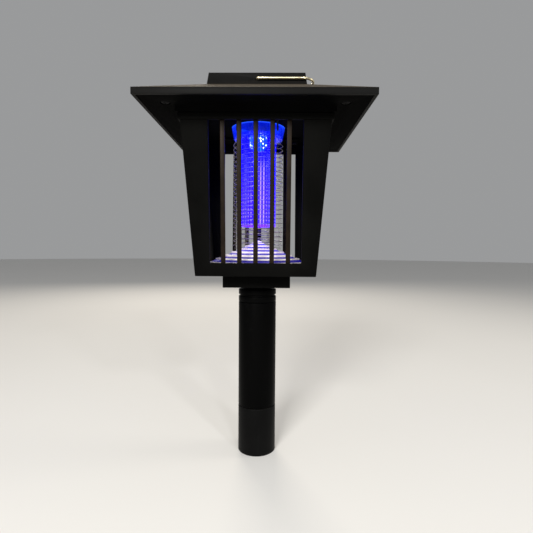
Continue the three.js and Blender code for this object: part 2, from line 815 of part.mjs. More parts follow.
// Two wires wound side by side, half a pitch apart.
function gridWires() {
  const stepsPerTurn = 16;
  const wireSides = 5;
  const steps = Math.round((GRID_LENGTH / GRID_PITCH) * stepsPerTurn);
  return ["grid_wire_live", "grid_wire_return"].map((name, i) => {
    const helix = new Helix(GRID_RADIUS, GRID_FOOT, GRID_LENGTH, GRID_PITCH, i * Math.PI);
    return named(name, wire(helix, GRID_WIRE_RADIUS, wireSides, steps), gridSteel);
  });
}

// ---------------------------------------------------------------- internal leads

function lead(name, points) {
  const sides = 6;
  const stepsPerPoint = 4;
  const curve = new THREE.CatmullRomCurve3(points.map((point) => new THREE.Vector3(...point)));
  const tube = wire(curve, LEAD_RADIUS, sides, stepsPerPoint * (points.length - 1));
  return named(name, tube, darkInsulation);
}

function leads() {
  const boardTop = BOARD_SEAT + LEAD_RADIUS;
  const gridLeads = [
    ["grid_lead_live", 1],
    ["grid_lead_return", -1],
  ].map(([name, side]) =>
    lead(name, [
      [side * GRID_LEAD_X, GRID_LEAD_Y, -8],
      [side * GRID_LEAD_X, GRID_LEAD_Y, PLATE_HIGH],
      [side * (GRID_LEAD_X + 2), GRID_LEAD_Y - 1, BOARD_LOW],
      [side * (GRID_LEAD_X + 2), GRID_LEAD_Y - 3, boardTop + 1.5],
      [side * (GRID_LEAD_X + 2), BOARD_Y + 8, boardTop],
    ]),
  );
  return [
    lead("panel_lead", [
      [PANEL_LEAD_X, 0, PANEL_BOX_TOP - 3],
      [PANEL_LEAD_X, -2, PANEL_BOX_TOP - 8],
      [PANEL_LEAD_X, -18, 18],
      [PANEL_LEAD_X + 2, BOARD_Y + 3, 14],
      [PANEL_LEAD_X + 2, BOARD_Y - 4, boardTop],
    ]),
    lead("lamp_lead", [
      [0, -6, LED_BOARD_HIGH + GAP],
      [0, -9, 4],
      [0, -16, 9],
      [-1, BOARD_Y + 10, 11.4],
      [-1, BOARD_Y - 1, boardTop],
    ]),
    ...gridLeads,
  ];
}

// ---------------------------------------------------------------- bail

// Folded flat beside the panel box: both legs reach from the pivot line to +X.
function wireBail() {
  const legY = PANEL_BOX_WIDTH / 2 + 1.2;
  const pinEnd = 35;
  const bend = 1.6;
  const corner = 9;
  const sides = 6;
  const steps = 90;
  const legs = [
    [0, -pinEnd],
    [0, -legY],
    [BAIL_REACH, -legY],
    [BAIL_REACH, legY],
    [0, legY],
    [0, pinEnd],
  ].map(([x, y]) => new THREE.Vector3(x, y, 0));
  const radii = [0, bend, corner, corner, bend, 0];
  const path = new THREE.CurvePath();
  let from = legs[0];
  for (let i = 1; i < legs.length - 1; i += 1) {
    const back = legs[i - 1].clone().sub(legs[i]).setLength(radii[i]).add(legs[i]);
    const ahead = legs[i + 1].clone().sub(legs[i]).setLength(radii[i]).add(legs[i]);
    path.add(new THREE.LineCurve3(from, back));
    path.add(new THREE.QuadraticBezierCurve3(back, legs[i], ahead));
    from = ahead;
  }
  path.add(new THREE.LineCurve3(from, legs[legs.length - 1]));
  return named("wire_bail", wire(path, BAIL_WIRE_RADIUS, sides, steps), polishedSteel);
}

// ---------------------------------------------------------------- assembly

function group(z, ...pieces) {
  const whole = new THREE.Group();
  whole.position.z = z;
  whole.add(...pieces);
  return whole;
}

const stake = group(0, groundSpike(), pole(), poleCoupler());

const lantern = group(
  CAGE_BOTTOM,
  cageFrame(),
  cageBars(),
  cageFloor(),
  neckBlock(),
  ...neckScrews(),
  deflectorCone(),
);

const head = group(
  ROOF_BOTTOM,
  roofShell(),
  solarPanel(),
  basePlate(),
  ...baseScrews(),
  batteryCover(),
  screw("battery_cover_screw", HATCH_SCREW, blackScrew, HATCH_SCREW_X, CELL_Y, HATCH_SCREW_SEAT),
  battery(),
  ...batteryContacts(),
  circuitBoard(),
  ...boardParts(),
  switchBody(),
  switchKnob(),
  lampCup(),
  lightGuide(),
  ledBoard(),
  uvLed(),
  gridFrame(),
  ...gridWires(),
  ...leads(),
  group(BAIL_HEIGHT, wireBail()),
);

export default group(0, stake, lantern, head);
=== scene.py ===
"""Looks of a solar garden bug zapper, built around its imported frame.

The zapper stands on a spike in the soil: a square lantern cage with a hip roof, a blue lamp inside
a wound wire grid, a ringed cone that throws the insects clear, and a wire bail to carry it by.
"""

import logging
import math
from collections.abc import Callable, Sequence
from dataclasses import dataclass, field
from enum import Enum

import bmesh
import bpy
from mathutils import Matrix, Vector

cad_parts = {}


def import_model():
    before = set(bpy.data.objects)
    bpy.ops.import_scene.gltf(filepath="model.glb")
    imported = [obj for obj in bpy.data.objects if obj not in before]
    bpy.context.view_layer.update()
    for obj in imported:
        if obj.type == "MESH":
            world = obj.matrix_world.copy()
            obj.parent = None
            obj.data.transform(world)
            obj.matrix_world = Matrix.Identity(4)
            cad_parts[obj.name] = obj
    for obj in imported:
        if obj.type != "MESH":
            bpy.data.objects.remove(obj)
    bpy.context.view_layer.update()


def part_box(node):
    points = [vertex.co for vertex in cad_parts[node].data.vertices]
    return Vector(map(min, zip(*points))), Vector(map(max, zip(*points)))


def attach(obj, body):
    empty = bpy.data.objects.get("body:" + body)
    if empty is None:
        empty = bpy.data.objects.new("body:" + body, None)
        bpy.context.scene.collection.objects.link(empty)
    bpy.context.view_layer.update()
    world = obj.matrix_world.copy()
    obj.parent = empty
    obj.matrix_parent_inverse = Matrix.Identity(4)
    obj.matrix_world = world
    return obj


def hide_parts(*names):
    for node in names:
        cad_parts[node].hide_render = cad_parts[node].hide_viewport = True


MM = 0.001
FULL_TURN = 2 * math.pi
UP = Vector((0, 0, 1))

log = logging.getLogger("zapper")


class Body(Enum):
    """The bodies that pieces ride on."""

    STAKE = "stake"
    LANTERN = "lantern"
    HEAD = "head"
    KNOB = "switch_knob"
    BAIL = "bail"


class Side(Enum):
    """The faces of the square cage, as quarter turns about the upright axis."""

    FRONT = 0
    RIGHT = 1
    REAR = 2
    LEFT = 3

    @property
    def label(self) -> str:
        """The side's name as the nodes spell it."""
        return self.name.lower()

    @property
    def turn(self) -> Matrix:
        """The rotation that takes the front face to this side."""
        return Matrix.Rotation(self.value * FULL_TURN / 4, 4, "Z")


# ---------------------------------------------------------------- shader maths


class Value:
    """A shader number that Python's arithmetic signs can be used on."""

    def __init__(self, desk: "Desk", socket: bpy.types.NodeSocket) -> None:
        """Wraps an output that carries one number."""
        self.desk = desk
        self.socket = socket

    def _math(self, operation: str, *others: "Value | float", flipped: bool = False) -> "Value":
        """Adds one Math node, with this value first, or last where `flipped` says so."""
        operands = [*others, self] if flipped else [self, *others]
        return self.desk.value("ShaderNodeMath", {"operation": operation}, dict(enumerate(operands)))

    def __add__(self, other: "Value | float") -> "Value":
        """Sum."""
        return self._math("ADD", other)

    __radd__ = __add__

    def __sub__(self, other: "Value | float") -> "Value":
        """Difference."""
        return self._math("SUBTRACT", other)

    def __rsub__(self, other: float) -> "Value":
        """Difference from a plain number."""
        return self._math("SUBTRACT", other, flipped=True)

    def __mul__(self, other: "Value | float") -> "Value":
        """Product."""
        return self._math("MULTIPLY", other)

    __rmul__ = __mul__

    def __truediv__(self, other: "Value | float") -> "Value":
        """Quotient."""
        return self._math("DIVIDE", other)

    def __pow__(self, other: float) -> "Value":
        """Power."""
        return self._math("POWER", other)

    def sine(self) -> "Value":
        """Sine of this angle."""
        return self._math("SINE")

    def fraction(self) -> "Value":
        """What is left over whole numbers."""
        return self._math("FRACT")

    def distance(self, other: "Value | float") -> "Value":
        """How far this is from another value, without its sign."""
        return (self - other)._math("ABSOLUTE")

    def angle_from(self, across: "Value") -> "Value":
        """The angle about the axis whose sideways places are `across` and this value."""
        return self._math("ARCTAN2", across)

    def ramp(self, low: float, high: float) -> "Value":
        """Goes smoothly from 0 at `low` to 1 at `high`."""
        settings = {"interpolation_type": "SMOOTHSTEP"}
        return self.desk.value("ShaderNodeMapRange", settings, {0: self, 1: low, 2: high})


Colour = tuple[float, float, float]
Feed = "Value | bpy.types.NodeSocket | float | Sequence[float]"


class Desk:
    """One material's node tree, with short words for the nodes that the finishes use."""

    def __init__(self, name: str) -> None:
        """Starts a bare material of that name.

        Args:
            name: the material's name.
        """
        self.material = bpy.data.materials.new(name)
        self.material.use_nodes = True
        self.tree = self.material.node_tree
        self.tree.nodes.clear()
        self.place = self.node("ShaderNodeTexCoord").outputs["Object"]

    def node(self, kind: str, settings: dict | None = None, feeds: dict | None = None) -> bpy.types.Node:
        """Adds any node.

        Args:
            kind: the node's type.
            settings: its properties, set first.
            feeds: a value or a link for each of its sockets, by name or number.

        Returns:
            The node.
        """
        made = self.tree.nodes.new(kind)
        for key, setting in (settings or {}).items():
            setattr(made, key, setting)
        for key, feed in (feeds or {}).items():
            socket = made.inputs[key]
            if isinstance(feed, Value):
                feed = feed.socket
            if isinstance(feed, bpy.types.NodeSocket):
                self.tree.links.new(feed, socket)
            else:
                socket.default_value = feed
        return made

    def value(self, kind: str, settings: dict | None = None, feeds: dict | None = None) -> Value:
        """Adds a node and wraps its first output."""
        return Value(self, self.node(kind, settings, feeds).outputs[0])

    def axes(self) -> tuple[Value, Value, Value]:
        """The place along X, Y and Z, in metres."""
        split = self.node("ShaderNodeSeparateXYZ", None, {0: self.place})
        return tuple(Value(self, split.outputs[i]) for i in range(3))

    def stretched(self, stretch: Sequence[float]) -> bpy.types.NodeSocket:
        """The place with each axis multiplied."""
        return self.node("ShaderNodeMapping", None, {"Vector": self.place, "Scale": stretch}).outputs[0]

    def noise(self, size: float, detail: float = 3.0, place: bpy.types.NodeSocket | None = None) -> Value:
        """Soft clouds.

        Args:
            size: the width of one cloud in metres.
            detail: how many finer layers there are.
            place: the coordinates, where not the piece's own.

        Returns:
            A value around one half.
        """
        feeds = {"Vector": place or self.place, "Scale": 1 / size, "Detail": detail}
        return self.value("ShaderNodeTexNoise", None, feeds)

    def cells(self, size: float) -> bpy.types.Node:
        """Random cells of about `size` metres."""
        return self.node("ShaderNodeTexVoronoi", None, {"Vector": self.place, "Scale": 1 / size})

    def blend(self, share: "Value | float", first: Feed, second: Feed) -> bpy.types.NodeSocket:
        """A colour between two colours or links, where `share` is how much of the second shows."""
        feeds = {0: share, 6: self._shade(first), 7: self._shade(second)}
        return self.node("ShaderNodeMix", {"data_type": "RGBA"}, feeds).outputs[2]

    @staticmethod
    def _shade(colour: Feed) -> Feed:
        """A colour with its fourth channel, or a link as it is."""
        return (*colour, 1.0) if isinstance(colour, tuple) else colour

    def relief(self, height: Value, depth: float) -> bpy.types.NodeSocket:
        """A bump whose full height is `depth` metres."""
        feeds = {"Strength": 1.0, "Distance": depth, "Height": height}
        return self.node("ShaderNodeBump", None, feeds).outputs[0]

    def finish(self, **sockets: Feed) -> bpy.types.Material:
        """Closes the material with a Principled shader.

        Args:
            sockets: what its sockets get, with underscores for the spaces in their names.

        Returns:
            The material.
        """
        feeds = {key.replace("_", " "): self._shade(feed) for key, feed in sockets.items()}
        shader = self.node("ShaderNodeBsdfPrincipled", None, feeds)
        self.node("ShaderNodeOutputMaterial", None, {"Surface": shader.outputs[0]})
        return self.material


# ---------------------------------------------------------------- finishes


def scaled(colour: Colour, factor: float) -> Colour:
    """A colour made lighter or darker."""
    return tuple(min(channel * factor, 0.95) for channel in colour)


@dataclass(frozen=True)
class Finish:
    """What every finish has: a name, a main colour and a mean roughness."""

    name: str
    slot: str
    colour: Colour
    roughness: float

    def material(self) -> bpy.types.Material:
        """The finish's material, built once."""
        found = bpy.data.materials.get(self.name)
        return found or self.build(Desk(self.name))

    def build(self, desk: Desk) -> bpy.types.Material:
        """Lays the finish out on an empty desk."""
        raise NotImplementedError(f"{self.name} has no layout for {desk.material.name}")

    def mottled(self, desk: Desk, share: Value, darkest: float, lightest: float) -> bpy.types.NodeSocket:
        """The main colour between a darker and a lighter version of it."""
        return desk.blend(share, scaled(self.colour, darkest), scaled(self.colour, lightest))

    def uneven(self, share: Value, swing: float) -> Value:
        """The mean roughness, swung up and down by a pattern around one half."""
        return self.roughness + (share - 0.5) * swing


@dataclass(frozen=True)
class MouldedPlastic(Finish):
    """Moulded plastic with a fine spark-eroded texture, faint flow marks and settled dust on what faces up,
    which where heavy is a painted highlight.
    """

    grain: float = 0.0006
    grain_depth: float = 0.00003
    # Settled dust on upward faces; laid on heavily it is a painted highlight.
    dust: float = 0.05
    dust_colour: Colour = (0.20, 0.185, 0.16)
    dust_cloud: float = 0.011
    gloss: float = 0.26

    def build(self, desk: Desk) -> bpy.types.Material:
        """Texture in the relief, flow marks in the colour, dust and painted highlight on what faces up.

        Args:
            desk: the empty desk of this finish's material.

        Returns:
            The finished material.
        """
        flow = desk.noise(0.035, 4)
        grain = desk.noise(self.grain, 2)
        scuffs = desk.noise(0.004, 5, desk.stretched((1, 1, 0.15))).ramp(0.58, 0.74)
        normal = desk.node("ShaderNodeNewGeometry").outputs["Normal"]
        facing = desk.node("ShaderNodeSeparateXYZ", None, {0: normal})
        upward = Value(desk, facing.outputs[2]).ramp(0.2, 0.95)
        # Dust on upward faces; heavy, as on the roof, it is a painted highlight.
        dust_and_highlight_share = upward * desk.noise(self.dust_cloud, 6).ramp(0.25, 0.75) * self.dust
        clean = self.mottled(desk, flow.ramp(0.3, 0.7), 0.72, 1.25)
        scuffed = desk.blend(scuffs * 0.25, clean, scaled(self.colour, 2.2))
        return desk.finish(
            Base_Color=desk.blend(dust_and_highlight_share, scuffed, self.dust_colour),
            Roughness=self.uneven(flow, 0.16) + scuffs * 0.10 + dust_and_highlight_share * 0.8,
            Specular_IOR_Level=self.gloss,
            Normal=desk.relief(grain + scuffs * 0.3, self.grain_depth),
        )


@dataclass(frozen=True)
class DrawnTube(Finish):
    """Smooth extruded tube, with faint lines along it and a soft gloss."""

    def build(self, desk: Desk) -> bpy.types.Material:
        """Lines along the tube in the relief and in the gloss, with a few handling marks.

        Args:
            desk: the empty desk of this finish's material.

        Returns:
            The finished material.
        """
        along = desk.noise(0.0011, 3, desk.stretched((1, 1, 0.02)))
        cloud = desk.noise(0.03, 4)
        marks = desk.noise(0.006, 6).ramp(0.60, 0.72)
        tone = self.mottled(desk, cloud, 0.8, 1.25)
        return desk.finish(
            Base_Color=desk.blend(marks * 0.3, tone, scaled(self.colour, 2.5)),
            Roughness=self.uneven(along, 0.14) + marks * 0.12,
            Specular_IOR_Level=0.02,
            Normal=desk.relief(along + cloud * 0.5, 0.00002),
        )


@dataclass(frozen=True)
class Lacquer(Finish):
    """Thin bronze lacquer over rolled steel strip."""

    def build(self, desk: Desk) -> bpy.types.Material:
        """Rolling lines along the strip, with darker clouds where the lacquer lies thicker.

        Args:
            desk: the empty desk of this finish's material.

        Returns:
            The finished material.
        """
        rolled = desk.noise(0.0009, 3, desk.stretched((1, 1, 0.03)))
        cloud = desk.noise(0.012, 5).ramp(0.35, 0.70)
        specks = Value(desk, desk.cells(0.0018).outputs["Distance"]).ramp(0.05, 0.16)
        tone = self.mottled(desk, cloud, 0.75, 1.35)
        return desk.finish(
            Base_Color=desk.blend(1 - specks, tone, scaled(self.colour, 1.9)),
            Metallic=0.1,
            Specular_IOR_Level=0.08,
            Roughness=self.uneven(rolled, 0.22),
            Normal=desk.relief(rolled, 0.00002),
        )


@dataclass(frozen=True)
class BrightMetal(Finish):
    """Bare or plated metal, with drawing lines and a little tarnish."""

    tarnish: float = 0.2
    tarnish_colour: Colour = (0.22, 0.16, 0.10)

    def build(self, desk: Desk) -> bpy.types.Material:
        """Fine lines in the relief, and tarnish where water has dried.

        Args:
            desk: the empty desk of this finish's material.

        Returns:
            The finished material.
        """
        lines = desk.noise(0.0007, 4)
        stain = desk.noise(0.005, 5).ramp(0.52, 0.75) * self.tarnish
        return desk.finish(
            Base_Color=desk.blend(stain, self.colour, self.tarnish_colour),
            Metallic=1.0,
            Roughness=self.uneven(lines, 0.10) + stain * 0.45,
            Normal=desk.relief(lines, 0.000008),
        )


@dataclass(frozen=True)
class LitGuide(Finish):
    """Fluted blue light guide, brightest in its ribs, that turns violet away from the lamp, with a painted
    highlight down the ribs on one side and painted glints in rows.
    """

    low: float = 0.0
    high: float = 1.0
    flutes: int = 36
    strength: float = 12.0
    far_colour: Colour = (0.007, 0.0015, 0.26)
    rim_colour: Colour = (0.035, 0.006, 0.25)
    # Colour, place and reach of a painted highlight, and colour and spacing of painted glints.
    stripe_colour: Colour = (0.060, 0.038, 0.070)
    stripe_turn: float = -1.34
    dot_colour: Colour = (0.046, 0.030, 0.30)
    dot_pitch: float = 0.0030
    stripe_reach: float = 0.21

    def build(self, desk: Desk) -> bpy.types.Material:
        """Glow by height and by rib, a painted highlight down the ribs on one side, painted glints in rows
        on the rib crests, and a wall that lets the lamp show through near the top.

        Args:
            desk: the empty desk of this finish's material.

        Returns:
            The finished material.
        """
        x, y, z = desk.axes()
        phase = y.angle_from(x) * self.flutes + FULL_TURN / 4
        ribs = phase.sine() * 0.5 + 0.5
        haze = desk.noise(0.0035, 5)
        near = z.ramp(self.low + 0.006, self.high - 0.024)
        rim = 1 - z.ramp(self.low + 0.001, self.low + 0.0022)
        glow = desk.blend(rim, desk.blend(near, self.far_colour, self.colour), self.rim_colour)
        bright = (ribs * 0.35 + haze * 0.5 + near * 0.25 + 0.1).ramp(0.05, 0.95)
        window = z.ramp(self.high - 0.024, self.high - 0.013)
        # Painted highlight: a pale streak on the rib crests on one side of the tube, kept off the top and
        # the rim.
        aside = y.angle_from(x).distance(self.stripe_turn)
        beside = 1 - aside.ramp(self.stripe_reach, self.stripe_reach + 0.08)
        below = 1 - z.ramp(self.high - 0.034, self.high - 0.018)
        painted_highlight = beside * ribs.ramp(0.35, 0.95) * below * (1 - rim)
        # Painted glints: rows of violet dots on the rib crests, stronger towards the bottom.
        rows = (z * (FULL_TURN / self.dot_pitch)).sine().ramp(0.0, 0.9)
        sinking = 1 - z.ramp(self.low + 0.004, self.high - 0.030)
        painted_glints = rows * ribs.ramp(0.45, 0.9) * sinking * (haze + 0.3)
        lit = desk.blend(painted_glints, desk.blend(bright, scaled(self.far_colour, 0.35), glow), self.dot_colour)
        return desk.finish(
            Base_Color=desk.blend(ribs, (0.002, 0.001, 0.10), (0.030, 0.016, 0.16)),
            Roughness=self.roughness + haze * 0.12,
            Alpha=1 - window * (ribs * 0.80 + 0.2),
            Specular_IOR_Level=0.15,
            Coat_Weight=(1 - window) * 0.15,
            Coat_Roughness=0.18,
            Emission_Color=desk.blend(painted_highlight * (haze * 0.5 + 0.5), lit, self.stripe_colour),
            Emission_Strength=self.strength,
            Normal=desk.relief(haze, 0.0001),
        )


@dataclass(frozen=True)
class LitCup(Finish):
    """Clear blue-lit plastic that glows at its edges, where light leaves the wall."""

    glow: Colour = (0.0008, 0.006, 0.42)
    edge_glow: Colour = (0.008, 0.045, 0.50)
    strength: float = 2.6
    low: float = 0.0
    high: float = 1.0

    def build(self, desk: Desk) -> bpy.types.Material:
        """Thin where it is looked through, dense at its outline, with streaks down the wall.

        Args:
            desk: the empty desk of this finish's material.

        Returns:
            The finished material.
        """
        _, _, z = desk.axes()
        streaks = desk.noise(0.0022, 4, desk.stretched((1, 1, 0.12)))
        cloud = desk.noise(0.009, 4)
        outline = Value(desk, desk.node("ShaderNodeLayerWeight", None, {"Blend": 0.35}).outputs["Facing"])
        lips = z.ramp(self.high - 0.0008, self.high + 0.0004)
        bright = (streaks * 0.5 + cloud * 0.5).ramp(0.35, 0.75)
        body = desk.blend(bright, scaled(self.glow, 0.5), self.glow)
        return desk.finish(
            Base_Color=self.mottled(desk, cloud, 0.7, 1),
            Roughness=self.uneven(streaks, 0.12),
            Alpha=(outline * 0.5 + 0.42 + lips * 0.1 + (streaks - 0.5) * 0.2).ramp(0.0, 1.0),
            Coat_Weight=0.3,
            Coat_Roughness=0.08,
            Emission_Color=desk.blend(lips.ramp(0.1, 0.9), body, self.edge_glow),
            Emission_Strength=self.strength,
            Normal=desk.relief(streaks, 0.00006),
        )


@dataclass(frozen=True)
class LitPlastic(Finish):
    """Pale plastic with the blue lamp's light painted on it as a glow."""

    glow: Colour = (0.010, 0.004, 0.30)
    strength: float = 1.6
    far: float = 0.05
    gloss: float = 0.5

    def build(self, desk: Desk) -> bpy.types.Material:
        """Painted lamp light as a glow that fades away from the lamp, with moulding clouds.

        Args:
            desk: the empty desk of this finish's material.

        Returns:
            The finished material.
        """
        x, y, _ = desk.axes()
        reach = (x * x + y * y) ** 0.5
        cloud = desk.noise(0.004, 4)
        near = 1 - reach.ramp(0.004, 0.040)
        return desk.finish(
            Base_Color=self.mottled(desk, cloud, 0.7, 1),
            Roughness=self.uneven(cloud, 0.2),
            Specular_IOR_Level=self.gloss,
            # Painted lamp light: a glow brightest near the axis, with a small share of it everywhere else.
            Emission_Color=desk.blend(near * (cloud * 0.5 + 0.75), scaled(self.glow, self.far), self.glow),
            Emission_Strength=self.strength,
            Normal=desk.relief(cloud, 0.00003),
        )


@dataclass(frozen=True)
class LitDome(Finish):
    """Frosted dome over the diode: white-hot specks in a cyan glow."""

    glow: Colour = (0.0, 0.035, 0.60)
    spark: Colour = (0.75, 1.0, 1.0)
    strength: float = 9.0

    def build(self, desk: Desk) -> bpy.types.Material:
        """Specks where the frosting scatters the light towards the eye.

        Args:
            desk: the empty desk of this finish's material.

        Returns:
            The finished material.
        """
        specks = 1 - Value(desk, desk.cells(0.0026).outputs["Distance"]).ramp(0.12, 0.42)
        cloud = desk.noise(0.004, 3)
        lit = (specks * 0.7 + cloud * 0.45).ramp(0.25, 0.95)
        return desk.finish(
            Base_Color=self.mottled(desk, cloud, 0.7, 1),
            Roughness=self.uneven(cloud, 0.2),
            Emission_Color=desk.blend(lit, self.glow, self.spark),
            Emission_Strength=self.strength,
            Normal=desk.relief(cloud, 0.0001),
        )


@dataclass(frozen=True)
class FrostedPlastic(Finish):
    """Frosted clear plastic that takes on the colour of the light behind it."""

    alpha: float = 0.11

    def build(self, desk: Desk) -> bpy.types.Material:
        """Cloudy body with fine moulding grain.

        Args:
            desk: the empty desk of this finish's material.

        Returns:
            The finished material.
        """
        cloud = desk.noise(0.003, 5)
        grain = desk.noise(0.0005, 2)
        return desk.finish(
            Base_Color=self.mottled(desk, cloud, 0.6, 1.2),
            Roughness=self.uneven(cloud, 0.25),
            Alpha=self.alpha + (cloud - 0.5) * 0.15,
            Specular_IOR_Level=0.4,
            Normal=desk.relief(grain + cloud, 0.00004),
        )


@dataclass(frozen=True)
class SolarCells(Finish):
    """Dark blue polycrystalline cells under clear resin."""

    def build(self, desk: Desk) -> bpy.types.Material:
        """Crystal flakes of many blues, with fine silver fingers across them.

        Args:
            desk: the empty desk of this finish's material.

        Returns:
            The finished material.
        """
        flakes = desk.node("ShaderNodeSeparateColor", None, {0: desk.cells(0.0045).outputs["Color"]})
        flake = Value(desk, flakes.outputs[0])
        x, _, _ = desk.axes()
        fingers = (x / 0.0021).fraction().distance(0.5).ramp(0.44, 0.49)
        blue = self.mottled(desk, flake, 0.45, 1.7)
        ripple = desk.noise(0.012, 2)
        return desk.finish(
            Base_Color=desk.blend(fingers * 0.55, blue, (0.30, 0.32, 0.36)),
            Roughness=self.roughness + flake * 0.08,
            Coat_Weight=1.0,
            Coat_Roughness=0.04,
            Normal=desk.relief(ripple, 0.00004),
        )


@dataclass(frozen=True)
class CircuitLaminate(Finish):
    """Solder mask over glass-fibre laminate, with copper tracks showing through."""

    track: Colour = (0.06, 0.24, 0.07)

    def build(self, desk: Desk) -> bpy.types.Material:
        """Tracks as the edges of square cells, under a glossy mask.

        Args:
            desk: the empty desk of this finish's material.

        Returns:
            The finished material.
        """
        x, y, _ = desk.axes()
        lanes = (x / 0.0031).fraction().distance(0.5).ramp(0.36, 0.40)
        rows = (y / 0.0047).fraction().distance(0.5).ramp(0.38, 0.42)
        patch = desk.noise(0.009, 1).ramp(0.45, 0.55)
        tracks = lanes * patch + rows * (1 - patch)
        weave = desk.noise(0.0008, 2)
        return desk.finish(
            Base_Color=desk.blend(tracks, self.colour, self.track),
            Roughness=self.uneven(weave, 0.1),
            Normal=desk.relief(tracks + weave * 0.2, 0.00003),
        )


BLACK = MouldedPlastic(
    "black_moulded_plastic", "black_plastic", (0.0024, 0.0024, 0.0022), 0.52, dust=0.03, gloss=0.022
)
# A lighter copy of the cage's black plastic, as painted light; its heavy warm dust on what faces up is
# mostly a painted highlight along the roof's slope.
ROOF_BLACK = MouldedPlastic(
    "black_roof_plastic", "black_plastic", (0.0044, 0.0043, 0.0041), 0.50, dust=0.46,
    dust_colour=(0.26, 0.215, 0.16), dust_cloud=0.0008, gloss=0.045,
)
# A darker, duller copy of the black plastic: painted shade on the base plate and the battery hatch, which
# face down.
SHADED_UNDERSIDE = MouldedPlastic(
    "underside_plastic", "black_plastic", (0.0016, 0.0016, 0.0016), 0.66, dust=0.0, gloss=0.006
)
SPIKE_PLASTIC = MouldedPlastic(
    "spike_plastic", "black_plastic", (0.003, 0.003, 0.003), 0.48, dust=0.02, gloss=0.05
)
FRAME_PLASTIC = FrostedPlastic("grid_frame_plastic", "frosted_plastic", (0.20, 0.17, 0.12), 0.35)
TUBE = DrawnTube("pole_tube", "satin_pole", (0.0012, 0.0012, 0.0012), 0.36)
BRONZE = Lacquer("bronze_lacquer", "bronze_bar", (0.0095, 0.0058, 0.0034), 0.46)
BAIL_STEEL = BrightMetal("polished_bail_wire", "polished_bail", (0.82, 0.73, 0.49), 0.30, tarnish=0.08)
GRID_STEEL = BrightMetal(
    "bright_grid_wire", "grid_steel", (0.34, 0.29, 0.36), 0.36,
    tarnish=0.3, tarnish_colour=(0.08, 0.05, 0.03),
)
ZINC = BrightMetal("zinc_plate", "zinc_steel", (0.60, 0.61, 0.62), 0.30, tarnish=0.45)
BLACK_SCREW = MouldedPlastic(
    "black_oxide", "black_screw", (0.0045, 0.0045, 0.0050), 0.55, grain=0.0003, dust=0.0, gloss=0.03
)
DOME_PLASTIC = LitDome("led_diffuser", "led_lens", (0.3, 0.7, 1.0), 0.3)
# Cream cone plastic, with blue-white lamp light painted on as glow.
CREAM = LitPlastic(
    "cream_cone_plastic", "cream_plastic", (0.95, 0.89, 0.80), 0.32, glow=(0.42, 0.32, 0.58), strength=1.0
)
# Dark blue on the cone's sloping faces is painted shade of the grooves between the rings, with blue lamp
# light painted on as glow.
GROOVE = LitPlastic(
    "lit_groove", "cream_plastic", (0.010, 0.008, 0.05), 0.25,
    glow=(0.016, 0.007, 0.50), far=0.22, gloss=0.2,
)
CELLS = SolarCells("solar_cells", "solar_cells", (0.010, 0.022, 0.095), 0.22)
LAMINATE = CircuitLaminate("circuit_laminate", "circuit_board", (0.015, 0.10, 0.03), 0.35)
EPOXY = MouldedPlastic("black_epoxy", "black_epoxy", (0.012, 0.012, 0.012), 0.45, dust=0.0)
BLUE_EPOXY = MouldedPlastic("blue_epoxy", "blue_epoxy", (0.02, 0.08, 0.40), 0.30, dust=0.0)
GREY = MouldedPlastic("grey_nylon", "grey_plastic", (0.16, 0.17, 0.18), 0.45, dust=0.0)
SLEEVE = MouldedPlastic("cell_sleeve", "cell_sleeve", (0.03, 0.20, 0.07), 0.30, dust=0.0)
INSULATION = MouldedPlastic("dark_insulation", "dark_insulation", (0.010, 0.010, 0.014), 0.40, dust=0.0)


# ---------------------------------------------------------------- modelling moves

Point = tuple[float, float, float]
Profile = list[tuple[float, float]]


